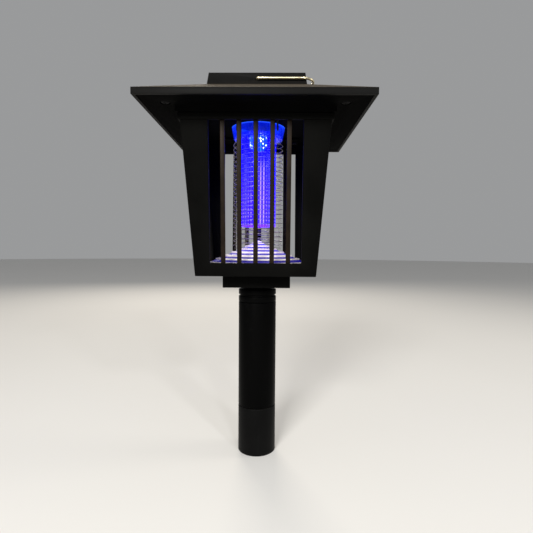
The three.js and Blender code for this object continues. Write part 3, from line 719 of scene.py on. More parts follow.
class Bench:
    """Modelling moves on one piece at a time. Lengths are in millimetres."""

    @staticmethod
    def clear() -> None:
        """Leaves edit mode and lets go of everything."""
        if bpy.context.object and bpy.context.object.mode != "OBJECT":
            bpy.ops.object.mode_set(mode="OBJECT")
        bpy.ops.object.select_all(action="DESELECT")

    @classmethod
    def hold(cls, piece: bpy.types.Object) -> bpy.types.Object:
        """Selects one piece and makes it active.

        Args:
            piece: the piece.

        Returns:
            The same piece.
        """
        cls.clear()
        piece.select_set(True)
        bpy.context.view_layer.objects.active = piece
        return piece

    @classmethod
    def settle(cls, piece: bpy.types.Object, name: str) -> bpy.types.Object:
        """Names a piece and puts its place into its mesh.

        Args:
            piece: the piece.
            name: the name that it gets.

        Returns:
            The same piece.
        """
        cls.hold(piece)
        piece.name = name
        piece.data.name = name
        bpy.ops.object.transform_apply(location=True, rotation=True, scale=True)
        return piece

    @classmethod
    def block(cls, name: str, low: Point, high: Point) -> bpy.types.Object:
        """A block between its lowest and its highest corner.

        Args:
            name: the piece's name.
            low: its lowest corner.
            high: its highest corner.

        Returns:
            The block.
        """
        cls.clear()
        middle = [(a + b) / 2 * MM for a, b in zip(low, high)]
        size = [(b - a) * MM for a, b in zip(low, high)]
        bpy.ops.mesh.primitive_cube_add(size=1, location=middle, scale=size)
        return cls.settle(bpy.context.object, name)

    @classmethod
    def rod(
        cls, name: str, radius: float, low: float, high: float, at: Point = (0, 0, 0), sides: int = 48
    ) -> bpy.types.Object:
        """An upright rod between two heights.

        Args:
            name: the piece's name.
            radius: its radius.
            low: its lower height.
            high: its upper height.
            at: its axis, of which only x and y count.
            sides: how many sides it has.

        Returns:
            The rod.
        """
        cls.clear()
        place = (at[0] * MM, at[1] * MM, (low + high) / 2 * MM)
        bpy.ops.mesh.primitive_cylinder_add(
            vertices=sides, radius=radius * MM, depth=(high - low) * MM, location=place
        )
        return cls.settle(bpy.context.object, name)

    @classmethod
    def path(cls, points: Sequence[Vector]) -> bpy.types.Object:
        """A line of edges through the points, in millimetres, left open in edit mode.

        Args:
            points: the points in order.

        Returns:
            The line, still open in edit mode.
        """
        cls.clear()
        bpy.ops.mesh.primitive_plane_add(size=MM)
        bpy.ops.object.mode_set(mode="EDIT")
        bpy.ops.mesh.select_mode(type="VERT")
        bpy.ops.mesh.select_all(action="SELECT")
        bpy.ops.mesh.merge(type="CENTER")
        bpy.ops.transform.translate(value=points[0] * MM)
        for here, there in zip(points, points[1:]):
            bpy.ops.mesh.extrude_region_move(TRANSFORM_OT_translate={"value": (there - here) * MM})
        return bpy.context.object

    @classmethod
    def turned(cls, name: str, profile: Profile, sides: int = 96) -> bpy.types.Object:
        """A piece turned about the upright axis.

        Args:
            name: the piece's name.
            profile: its outline as (radius, height) points, closed or with both ends on the axis.
            sides: how many steps a full turn has.

        Returns:
            The turned piece.
        """
        cls.path([Vector((radius, 0, height)) for radius, height in profile])
        bpy.ops.mesh.select_all(action="SELECT")
        bpy.ops.mesh.spin(steps=sides, angle=FULL_TURN, center=(0, 0, 0), axis=UP)
        cls.close()
        return cls.settle(bpy.context.object, name)

    @staticmethod
    def close() -> None:
        """Merges doubles, turns all faces outwards and leaves edit mode."""
        bpy.ops.mesh.select_all(action="SELECT")
        bpy.ops.mesh.remove_doubles(threshold=MM * 0.001)
        bpy.ops.mesh.normals_make_consistent(inside=False)
        bpy.ops.object.mode_set(mode="OBJECT")

    @classmethod
    def pick(cls, piece: bpy.types.Object, test: Callable[[bmesh.types.BMFace], bool]) -> None:
        """Opens a piece in edit mode with the faces that pass a test selected.

        Args:
            piece: the piece.
            test: says whether a face is wanted.
        """
        if bpy.context.object is not piece or piece.mode != "EDIT":
            cls.hold(piece)
            bpy.ops.object.mode_set(mode="EDIT")
        bpy.ops.mesh.select_mode(type="FACE")
        bpy.ops.mesh.select_all(action="DESELECT")
        mesh = bmesh.from_edit_mesh(piece.data)
        mesh.normal_update()
        for face in mesh.faces:
            face.select_set(test(face))
        bmesh.update_edit_mesh(piece.data)

    @staticmethod
    def pull(height: float, grow: float = 1.0) -> None:
        """Extrudes the picked faces along Z, and makes them `grow` times as wide.

        Args:
            height: how far, in millimetres.
            grow: how much wider the new faces get.
        """
        bpy.ops.mesh.extrude_region_move(TRANSFORM_OT_translate={"value": (0, 0, height * MM)})
        if grow != 1.0:
            bpy.ops.transform.resize(value=(grow, grow, 1), center_override=(0, 0, 0))

    @classmethod
    def modify(cls, piece: bpy.types.Object, kind: str, **settings: object) -> bpy.types.Object:
        """Adds one modifier with its settings and applies it.

        Args:
            piece: the piece.
            kind: the modifier's type.
            settings: its properties.

        Returns:
            The same piece.
        """
        cls.hold(piece)
        modifier = piece.modifiers.new(kind.lower(), kind)
        for key, setting in settings.items():
            setattr(modifier, key, setting)
        bpy.ops.object.modifier_apply(modifier=modifier.name)
        return piece

    @classmethod
    def smooth(cls, piece: bpy.types.Object, angle: float = 50) -> bpy.types.Object:
        """Smooths the shading over every edge blunter than `angle` degrees.

        Args:
            piece: the piece.
            angle: the sharpest turn, in degrees, that is still smoothed.

        Returns:
            The same piece.
        """
        cls.hold(piece)
        bpy.ops.object.shade_smooth_by_angle(angle=math.radians(angle))
        return piece

    @classmethod
    def soften(
        cls, piece: bpy.types.Object, width: float, angle: float = 32, segments: int = 3
    ) -> bpy.types.Object:
        """Rounds the sharp edges and smooths the faces between them.

        Args:
            piece: the piece.
            width: the rounding's width.
            angle: edges sharper than this many degrees are rounded.
            segments: how many facets the rounding has.

        Returns:
            The same piece.
        """
        limit = math.radians(angle)
        cls.modify(
            piece, "BEVEL", width=width * MM, segments=segments, limit_method="ANGLE", angle_limit=limit,
            use_clamp_overlap=True, harden_normals=False,
        )
        return cls.smooth(piece, 38)

    @classmethod
    def carve(
        cls, piece: bpy.types.Object, *tools: bpy.types.Object, how: str = "DIFFERENCE"
    ) -> bpy.types.Object:
        """Cuts tools out of a piece, or joins them on, and throws the tools away.

        Args:
            piece: the piece.
            tools: the shapes to use.
            how: the boolean's operation.

        Returns:
            The same piece.
        """
        for tool in tools:
            cls.modify(piece, "BOOLEAN", operation=how, object=tool, solver="EXACT")
            bpy.data.objects.remove(tool)
        return piece

    @classmethod
    def merge(cls, piece: bpy.types.Object, *others: bpy.types.Object) -> bpy.types.Object:
        """Joins pieces into one object without melting them together.

        Args:
            piece: the piece that takes the others in.
            others: the pieces that it takes in.

        Returns:
            The joined piece.
        """
        cls.hold(piece)
        for other in others:
            other.select_set(True)
        bpy.ops.object.join()
        return piece

    @classmethod
    def copy(cls, piece: bpy.types.Object, name: str, move: Matrix) -> bpy.types.Object:
        """A copy with its own mesh, moved and settled under its own name.

        Args:
            piece: what to copy.
            name: the copy's name.
            move: where it goes.

        Returns:
            The copy.
        """
        twin = piece.copy()
        twin.data = piece.data.copy()
        bpy.context.scene.collection.objects.link(twin)
        twin.matrix_world = move
        return cls.settle(twin, name)

    @classmethod
    def from_node(cls, node: str, name: str) -> bpy.types.Object:
        """A merged copy of a CAD node's mesh, with its flat faces whole again.

        Args:
            node: the node's name.
            name: the copy's name.

        Returns:
            The copy, ready to be softened.
        """
        source = bpy.data.objects[node]
        twin = bpy.data.objects.new(name, source.data.copy())
        bpy.context.scene.collection.objects.link(twin)
        twin.data.name = name
        twin.data.materials.clear()
        cls.hold(twin)
        bpy.ops.object.mode_set(mode="EDIT")
        bpy.ops.mesh.select_all(action="SELECT")
        bpy.ops.mesh.remove_doubles(threshold=MM * 0.002)
        bpy.ops.mesh.dissolve_limited(angle_limit=math.radians(1))
        bpy.ops.object.mode_set(mode="OBJECT")
        return twin


def dress(piece: bpy.types.Object, finish: Finish, body: Body, *nodes: str) -> bpy.types.Object:
    """Gives a finished piece its finish, its body and the nodes that it stands for.

    Args:
        piece: the piece, settled at the origin.
        finish: its finish.
        body: the body that it rides on.
        nodes: the CAD nodes that it replaces.

    Returns:
        The same piece.
    """
    piece.data.materials.clear()
    piece.data.materials.append(finish.material())
    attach(piece, body.value)
    if nodes:
        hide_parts(*nodes)
    log.info("%s: %d faces, rides on %s", piece.name, len(piece.data.polygons), body.value)
    return piece


def keep_shape(node: str, name: str, width: float, finish: Finish, body: Body) -> None:
    """Makes a piece of a node whose shape is right, with rounded edges and a true finish.

    Args:
        node: the node.
        name: the piece's name.
        width: how wide its edges are rounded.
        finish: its finish.
        body: the body that it rides on.
    """
    dress(Bench.soften(Bench.from_node(node, name), width), finish, body, node)


def span(node: str) -> tuple[Vector, Vector]:
    """A node's lowest and highest corners, in millimetres."""
    low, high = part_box(node)
    return low / MM, high / MM


# ---------------------------------------------------------------- stake


@dataclass
class Stake:
    """The ground spike, the pole and the coupler that carries the lantern."""

    radius: float = 15.8
    bore: float = 14.2
    plug: float = 13.9
    seam: float = 39.7
    edge: float = 0.5
    blade_half: float = 13.0
    blade_thick: float = 2.6
    shoulder: float = 18.0
    tip: float = 0.06

    def spike(self) -> None:
        """A round collar with crossed blades under it."""
        low, _ = span("ground_spike")
        plug_top = self.seam + 22.3
        hollow = self.plug - 2.2
        collar = Bench.turned(
            "spike_collar",
            [
                (0, 0), (self.radius - self.edge, 0), (self.radius, self.edge),
                (self.radius, self.seam - self.edge), (self.radius - self.edge, self.seam),
                (self.plug, self.seam), (self.plug, plug_top), (hollow, plug_top), (hollow, 4), (0, 4),
            ],
        )
        blades = [self.blade(low.z, turn) for turn in (0, 1)]
        Bench.carve(collar, *blades, how="UNION")
        Bench.soften(collar, 0.35, segments=2)
        dress(collar, SPIKE_PLASTIC, Body.STAKE, "ground_spike")

    def blade(self, tip_height: float, turn: int) -> bpy.types.Object:
        """One flat blade that narrows to the tip.

        Args:
            tip_height: the height of its tip.
            turn: how many quarter turns it is turned by.

        Returns:
            The blade.
        """
        half, thick = self.blade_half, self.blade_thick / 2
        blade = Bench.block("spike_blade", (-half, -thick, -self.shoulder), (half, thick, 1))
        Bench.pick(blade, lambda face: face.normal.z < -0.5)
        Bench.pull(tip_height + self.shoulder)
        bpy.ops.transform.resize(value=(self.tip, 1, 1), center_override=(0, 0, 0))
        Bench.clear()
        blade.rotation_euler.z = turn * FULL_TURN / 4
        return Bench.settle(blade, "spike_blade")

    def pole(self) -> None:
        """The tube between the spike and the coupler."""
        low, high = span("pole")
        outer, inner, edge = self.radius, self.bore, self.edge
        tube = Bench.turned(
            "pole_tube",
            [
                (inner, low.z), (outer - edge, low.z), (outer, low.z + edge), (outer, high.z - edge),
                (outer - edge, high.z), (inner, high.z), (inner, low.z),
            ],
            128,
        )
        Bench.soften(tube, 0.15, segments=2)
        dress(tube, TUBE, Body.STAKE, "pole")

    def coupler(self) -> None:
        """A band, a groove and a ring, with the spigot that the lantern stands on."""
        low, high = span("pole_coupler")
        start = low.z + 24
        outer, neck, spigot, bore = self.radius, self.radius - 1.1, 12.8, 10.8
        profile = [
            (bore, low.z), (self.plug, low.z), (self.plug, start), (outer, start), (outer, start + 4.4),
            (neck, start + 4.8), (neck, start + 5.7), (outer, start + 6.1), (outer, start + 10.2),
            (spigot, start + 10.2), (spigot, high.z - 1), (spigot - 1, high.z),
            (bore, high.z), (bore, low.z),
        ]
        coupler = Bench.turned("coupler_ring", profile, 128)
        Bench.soften(coupler, 0.3)
        dress(coupler, TUBE, Body.STAKE, "pole_coupler")

    def build(self) -> None:
        """Builds and dresses the stake."""
        self.spike()
        self.pole()
        self.coupler()


# ---------------------------------------------------------------- screws


@dataclass
class PanScrew:
    """A pan-head screw with a cross recess, made to the size of its node."""

    head_height: float
    shank: float
    head_down: bool = True
    finish: Finish = BLACK_SCREW

    def build(self, node: str, body: Body) -> None:
        """Builds one screw.

        Args:
            node: the node that it stands for.
            body: the body that it rides on.
        """
        low, high = span(node)
        radius = (high.x - low.x) / 2
        length = high.z - low.z
        head, shank = self.head_height, self.shank
        profile = [
            (0, 0), (radius * 0.45, head * 0.04), (radius * 0.8, head * 0.22), (radius * 0.97, head * 0.6),
            (radius, head * 0.85), (radius * 0.96, head),
            (shank, head), (shank, length - shank), (0, length),
        ]
        screw = Bench.turned(f"{node}_cross_head", profile, 32)
        wide, narrow, deep = radius * 0.55, radius * 0.13, head * 0.55
        for half_x, half_y in ((wide, narrow), (narrow, wide)):
            slot = Bench.block("slot", (-half_x, -half_y, -1), (half_x, half_y, deep))
            Bench.carve(screw, slot)
        Bench.soften(screw, 0.05, segments=1)
        middle = (low + high) / 2
        place = Matrix.Translation(Vector((middle.x, middle.y, low.z)) * MM)
        if not self.head_down:
            flip = Matrix.Rotation(FULL_TURN / 2, 4, "X")
            place = Matrix.Translation(Vector((middle.x, middle.y, high.z)) * MM) @ flip
        screw.matrix_world = place
        Bench.settle(screw, f"{node}_cross_head")
        dress(screw, self.finish, body, node)


# ---------------------------------------------------------------- cage


@dataclass
class Cage:
    """The square lantern cage: posts, bars, floor, neck and the ringed cone."""

    foot_width: float = 90.0
    head_width: float = 108.0
    height: float = 112.0
    wall: float = 4.0
    ledge: float = 1.6
    ledge_opening: float = 76.0
    window: float = 68.0
    sill: float = 10.0
    rim_width: float = 111.0
    rim_height: float = 4.7
    rim_opening: float = 105.2
    bars: int = 5
    bar_pitch: float = 12.0
    bar_width: float = 3.4
    bar_thick: float = 1.6
    bar_foot: float = 5.0
    bar_head: float = 114.4
    rings: list[float] = field(default_factory=lambda: [40.3, 35.5, 29.5, 22.5, 16.5, 11.0, 5.5])
    first_ring_top: float = 9.8
    ring_step: float = 3.0
    ring_settle: float = 0.06
    ring_slope: float = 1.3
    wide_slope: float = 1.8
    sole: float = 38.9
    tip: float = 3.0
    polish_width: float = 3.5

    def __post_init__(self) -> None:
        """Takes the cage's own underside as the start of its heights."""
        self.foot = span("cage_frame")[0].z
        self.slope = (self.head_width - self.foot_width) / 2 / self.height

    def width(self, height: float) -> float:
        """The outer width at a height above the cage's underside."""
        return self.foot_width + 2 * self.slope * height

    def tapered(self, name: str, low: float, high: float, thinner: float = 0.0) -> bpy.types.Object:
        """A square block that follows the cage's lean.

        Args:
            name: its name.
            low: its lower height above the cage's underside.
            high: its upper height.
            thinner: how much it lies inside the outer faces.

        Returns:
            The block.
        """
        half = self.width(low) / 2 - thinner
        grow = (self.width(high) / 2 - thinner) / half
        block = Bench.block(name, (-half, -half, self.foot + low), (half, half, self.foot + high))
        Bench.pick(block, lambda face: face.normal.z > 0.5)
        bpy.ops.transform.resize(value=(grow, grow, 1), center_override=(0, 0, 0))
        Bench.clear()
        return block

    def square(
        self, width: float, low: float, high: float, across: float | None = None
    ) -> bpy.types.Object:
        """A centred upright block.

        Args:
            width: its size along X.
            low: its lower height above the cage's underside.
            high: its upper height.
            across: its size along Y, where that differs.

        Returns:
            The block.
        """
        half_x, half_y = width / 2, (across or width) / 2
        bottom, top = self.foot + low, self.foot + high
        return Bench.block("square", (-half_x, -half_y, bottom), (half_x, half_y, top))

    def shell(self) -> None:
        """Four leaning posts between the sill and the rim, in one moulding."""
        top = self.height + 1
        shell = self.tapered("cage_shell", 0, top)
        Bench.carve(
            shell,
            self.tapered("hollow", self.ledge, top + 2, self.wall),
            self.square(self.ledge_opening, -1, self.ledge + 1),
            self.square(self.window, self.sill, top + 1, self.rim_width + 10),
            self.square(self.rim_width + 10, self.sill, top + 1, self.window),
        )
        rim = self.square(self.rim_width, self.height, self.height + self.rim_height)
        Bench.carve(rim, self.square(self.rim_opening, self.height - 1, self.height + self.rim_height + 1))
        Bench.carve(shell, rim, how="UNION")
        Bench.soften(shell, 0.7)
        dress(shell, BLACK, Body.LANTERN, "cage_frame")

    def all_bars(self) -> None:
        """One bar, copied to every place on every side."""
        rise = self.bar_head - self.bar_foot
        half = rise * math.hypot(1, self.slope) / 2
        middle = (self.bar_head + self.bar_foot) / 2
        half_x, half_y = self.bar_width / 2, self.bar_thick / 2
        master = Bench.block("master_bar", (-half_x, -half_y, -half), (half_x, half_y, half))
        Bench.soften(master, 0.35)
        lean = Matrix.Rotation(math.atan(self.slope), 4, "X")
        back = -(self.width(middle) - self.wall) / 2
        for side in Side:
            for index in range(self.bars):
                across = (index - (self.bars - 1) / 2) * self.bar_pitch
                place = Vector((across, back, self.foot + middle)) * MM
                label = f"{side.label}_{index + 1}"
                bar = Bench.copy(master, f"bar_{label}", side.turn @ Matrix.Translation(place) @ lean)
                dress(bar, BRONZE, Body.LANTERN, f"cage_bar_{label}")
        bpy.data.objects.remove(master)

    def cone(self) -> None:
        """Rings with round lips and a slope at the foot of each, like a stack of saucers; the slopes take
        dark blue painted groove shade.
        """
        low, high = span("deflector_cone")
        profile = [
            (0, high.z - 2.8), (self.sole, low.z + 1.2), (self.sole, low.z), (self.rings[0] - 0.3, low.z),
        ]
        seat = low.z + 0.3
        for index, edge in enumerate(self.rings):
            top = self.foot + self.first_ring_top + index * self.ring_step - self.ring_settle * index**2
            rise = self.wide_slope if index == 1 else self.ring_slope
            if index > 0:
                profile.append((min(edge + rise * 1.7, self.rings[index - 1] - 1.0), seat + 0.05))
            profile += [
                (edge - 0.1, seat + rise), (edge, seat + rise + 0.25), (edge - 0.02, top - 0.6),
                (edge - 0.3, top - 0.15), (edge - 0.9, top),
            ]
            seat = top
        profile += [(2.4, high.z - 0.5), (1.1, high.z - 0.1), (0, high.z)]
        cone = Bench.turned("ringed_cone", profile, 160)
        Bench.smooth(cone, 40)
        dress(cone, CREAM, Body.LANTERN, "deflector_cone")
        # The slopes at each ring's foot, and the tip, get the dark blue painted groove shade.
        cone.data.materials.append(GROOVE.material())
        Bench.pick(cone, lambda face: 0.3 < face.normal.z < 0.93 and self.is_polished(face))
        cone.active_material_index = 1
        bpy.ops.object.material_slot_assign()
        Bench.clear()

    def is_polished(self, face: bmesh.types.BMFace) -> bool:
        """Whether a sloping face of the cone lies outside the ring above it, or at the tip.

        Args:
            face: the face.

        Returns:
            Whether it takes the painted groove shade.
        """
        middle = face.calc_center_median()
        reach = math.hypot(middle.x, middle.y) / MM
        beside = any(edge - 0.15 < reach < edge + self.polish_width for edge in self.rings[1:])
        return beside or reach < self.tip

    def seats(self) -> None:
        """The floor with its socket, and the neck below it."""
        keep_shape("cage_floor", "floor_plate", 0.4, BLACK, Body.LANTERN)
        keep_shape("neck_block", "neck_housing", 0.5, BLACK, Body.LANTERN)

    def build(self) -> None:
        """Builds and dresses the cage."""
        self.shell()
        self.all_bars()
        self.cone()
        self.seats()
        neck_screw = PanScrew(head_height=2.0, shank=1.4)
        for number in (1, 2):
            neck_screw.build(f"neck_screw_{number}", Body.LANTERN)


# ---------------------------------------------------------------- roof


@dataclass
class Roof:
    """The hip roof with its solar panel, and the base plate that closes it."""

    width: float = 160.0
    fascia: float = 4.4
    box_width: float = 74.8
    box_foot: float = 22.8
    box_top: float = 31.7
    box_draft: float = 2.6
    shell: float = 2.4
    inner_box: float = 67.8
    inner_width: float = 155.6
    recess: float = 66.6
    recess_depth: float = 2.6
    panel: float = 66.0
    strips: int = 4
    corner: float = 62.0

    def __post_init__(self) -> None:
        """Takes the fascia's lower edge as the start of its heights."""
        self.foot = span("roof_shell")[0].z

    def square(self, width: float, low: float, high: float) -> bpy.types.Object:
        """A centred upright block, with heights above the fascia's lower edge."""
        half = width / 2
        return Bench.block("square", (-half, -half, self.foot + low), (half, half, self.foot + high))

    @staticmethod
    def raise_top(height: float, grow: float) -> None:
        """Pulls the top face of the held piece up and draws it in."""
        Bench.pick(bpy.context.object, lambda face: face.normal.z > 0.99)
        Bench.pull(height, grow)

    def ceiling(self, reach: float) -> float:
        """The height of the roof's inner face at a distance from the axis."""
        slope = (self.box_foot - self.fascia) / ((self.width - self.box_width) / 2)
        return self.fascia + (self.width / 2 - reach) * slope - self.shell

    def cover(self) -> None:
        """A hip roof drawn in to the panel's box, hollow below, with a recess for the panel."""
        cover = self.square(self.width, 0, self.fascia)
        self.raise_top(self.box_foot - self.fascia, self.box_width / self.width)
        self.raise_top(self.box_top - self.box_foot, 1 - self.box_draft / self.box_width)
        Bench.clear()
        recess_floor = self.box_top - self.recess_depth
        hollow_foot = self.ceiling(self.inner_width / 2)
        hollow = self.square(self.inner_width, -1, hollow_foot)
        shoulder = self.ceiling(self.inner_box / 2)
        self.raise_top(shoulder - hollow_foot, self.inner_box / self.inner_width)
        self.raise_top(recess_floor - self.shell + 0.8 - shoulder, 1)
        Bench.clear()
        Bench.carve(cover, hollow, self.square(self.recess, recess_floor, self.box_top + 1))
        Bench.carve(cover, *self.pivots())
        for x, y in ((1, 1), (-1, 1), (-1, -1), (1, -1)):
            at = (x * self.corner, y * self.corner, 0)
            top = self.foot + self.ceiling(self.corner)
            Bench.carve(cover, Bench.rod("boss", 3.4, self.foot + 3, top + 1, at, 32), how="UNION")
            Bench.carve(cover, Bench.rod("pilot", 1.5, self.foot + 2, top, at, 24))
        Bench.settle(cover, "roof_cover")
        Bench.soften(cover, 0.7, angle=14)
        dress(cover, ROOF_BLACK, Body.HEAD, "roof_shell")

    def pivots(self) -> list[bpy.types.Object]:
        """Short rods for the two holes that the bail's pins turn in."""
        height = (span("wire_bail")[0].z + span("wire_bail")[1].z) / 2
        rods = []
        for side in (1, -1):
            rod = Bench.rod("pivot", 1.3, -3, 3, sides=24)
            rod.matrix_world = Matrix.Translation(Vector((0, side * 37, height)) * MM) @ Matrix.Rotation(
                FULL_TURN / 4, 4, "X"
            )
            rods.append(Bench.settle(rod, "pivot"))
        return rods

    def solar(self) -> None:
        """A black slab with strips of cells and silver ribbons under the resin."""
        low, high = span("solar_panel")
        half = self.panel / 2
        slab = Bench.block("panel_slab", (-half, -half, low.z), (half, half, high.z - 0.25))
        Bench.soften(slab, 0.3)
        dress(slab, EPOXY, Body.HEAD, "solar_panel")
        margin, gap = 2.4, 0.8
        pitch = (self.panel - 2 * margin + gap) / self.strips
        cells = []
        ribbons = []
        for index in range(self.strips):
            left = -half + margin + index * pitch
            right = left + pitch - gap
            near, far = -half + margin, half - margin
            cells.append(Bench.block("cell", (left, near, high.z - 0.3), (right, far, high.z - 0.1)))
            for share in (0.28, 0.72):
                middle = left + (right - left) * share
                ribbons.append(
                    Bench.block(
                        "ribbon", (middle - 0.5, -half + margin - 0.9, high.z - 0.2),
                        (middle + 0.5, half - margin + 0.9, high.z - 0.04),
                    )
                )
        strips = Bench.settle(Bench.merge(*cells), "cell_strips")
        dress(Bench.soften(strips, 0.05, segments=1), CELLS, Body.HEAD, "solar_panel")
        bars = Bench.settle(Bench.merge(*ribbons), "cell_ribbons")
        dress(Bench.soften(bars, 0.04, segments=1), ZINC, Body.HEAD, "solar_panel")

    def closing(self) -> None:
        """The base plate and the battery hatch."""
        # Both take the darker copy of the black plastic as painted shade.
        keep_shape("base_plate", "base_moulding", 0.4, SHADED_UNDERSIDE, Body.HEAD)
        keep_shape("battery_cover", "battery_hatch", 0.35, SHADED_UNDERSIDE, Body.HEAD)

    def build(self) -> None:
        """Builds and dresses the roof."""
        self.cover()
        self.solar()
        self.closing()
        corner_screw = PanScrew(head_height=0.9, shank=1.2)
        for number in range(1, 5):
            corner_screw.build(f"base_screw_{number}", Body.HEAD)
        PanScrew(head_height=1.2, shank=1.2).build("battery_cover_screw", Body.HEAD)


# ---------------------------------------------------------------- electronics


@dataclass
class Electronics:
    """What lies between the base plate and the roof: cell, contacts, board and switch."""

    cell_cap: float = 1.0
    cell_lip: float = 0.5
    rib_pitch: float = 1.3
    ribs: int = 3

    def cell(self) -> None:
        """A rechargeable cell with a shrunk sleeve over a steel can."""
        low, high = span("battery")
        radius = (high.z - low.z) / 2
        length = high.x - low.x
        lip = self.cell_lip
        sleeve = [
            (radius - 1.6, 0), (radius - 0.3, 0), (radius, 0.35), (radius, length - self.cell_cap - lip),
            (radius - 0.5, length - self.cell_cap), (radius - 1.8, length - self.cell_cap),
            (radius - 1.8, length - self.cell_cap - lip), (radius - 0.6, length - self.cell_cap - 2 * lip),
            (radius - 0.6, lip), (radius - 1.6, lip), (radius - 1.6, 0),
        ]
        can = [
            (0, 0.1), (radius - 1.8, 0.1), (radius - 0.75, 0.9), (radius - 0.75, length - 2.4),
            (2.8, length - self.cell_cap - 0.6), (2.8, length - 0.3), (2.5, length), (0, length),
        ]
        lie = Matrix.Rotation(FULL_TURN / 4, 4, "Y")
        middle = (low + high) / 2
        place = Matrix.Translation(Vector((low.x, middle.y, middle.z)) * MM) @ lie
        for name, outline, finish in (("cell_wrap", sleeve, SLEEVE), ("cell_can", can, ZINC)):
            piece = Bench.turned(name, outline, 64)
            piece.matrix_world = place
            Bench.settle(piece, name)
            Bench.soften(piece, 0.1, segments=2)
            dress(piece, finish, Body.HEAD, "battery")

    def plain_parts(self) -> None:
        """Pieces that need only rounded edges and a true finish."""
        parts = (
            ("contact_positive", "contact_plate_positive", 0.12, ZINC),
            ("contact_negative", "contact_plate_negative", 0.12, ZINC),
            ("circuit_board", "driver_board", 0.12, LAMINATE),
            ("led_board", "lamp_board", 0.12, LAMINATE),
            ("boost_transformer", "transformer_block", 0.7, EPOXY),
            ("storage_capacitor", "film_capacitor", 1.6, BLUE_EPOXY),
            ("switch_body", "switch_case", 0.25, GREY),
        )
        for node, name, width, finish in parts:
            keep_shape(node, name, width, finish, Body.HEAD)

    def knob(self) -> None:
        """The switch's knob, with ribs for a fingernail."""
        low, high = span("switch_knob")
        knob = Bench.from_node("switch_knob", "ribbed_knob")
        middle = (low.x + high.x) / 2
        for index in range(self.ribs):
            at = middle + (index - (self.ribs - 1) / 2) * self.rib_pitch
            corner = (at - 0.3, low.y + 0.3, low.z - 0.35)
            rib = Bench.block("rib", corner, (at + 0.3, high.y - 0.3, low.z + 0.3))
            Bench.carve(knob, rib, how="UNION")
        dress(Bench.soften(knob, 0.12, segments=2), BLACK, Body.KNOB, "switch_knob")

    def leads(self) -> None:
        """The insulated leads, made rounder than their nodes."""
        for node in ("panel_lead", "lamp_lead", "grid_lead_live", "grid_lead_return"):
            lead = Bench.from_node(node, f"{node}_wire")
            Bench.modify(lead, "SUBSURF", levels=1, render_levels=1)
            Bench.hold(lead)
            bpy.ops.object.shade_smooth()
            dress(lead, INSULATION, Body.HEAD, node)

    def build(self) -> None:
        """Builds and dresses the electronics."""
        self.cell()
        self.plain_parts()
        self.knob()
        self.leads()
        board_screw = PanScrew(head_height=1.4, shank=1.0, head_down=False, finish=ZINC)
        for number in (1, 2):
            board_screw.build(f"board_screw_{number}", Body.HEAD)


# ---------------------------------------------------------------- lamp


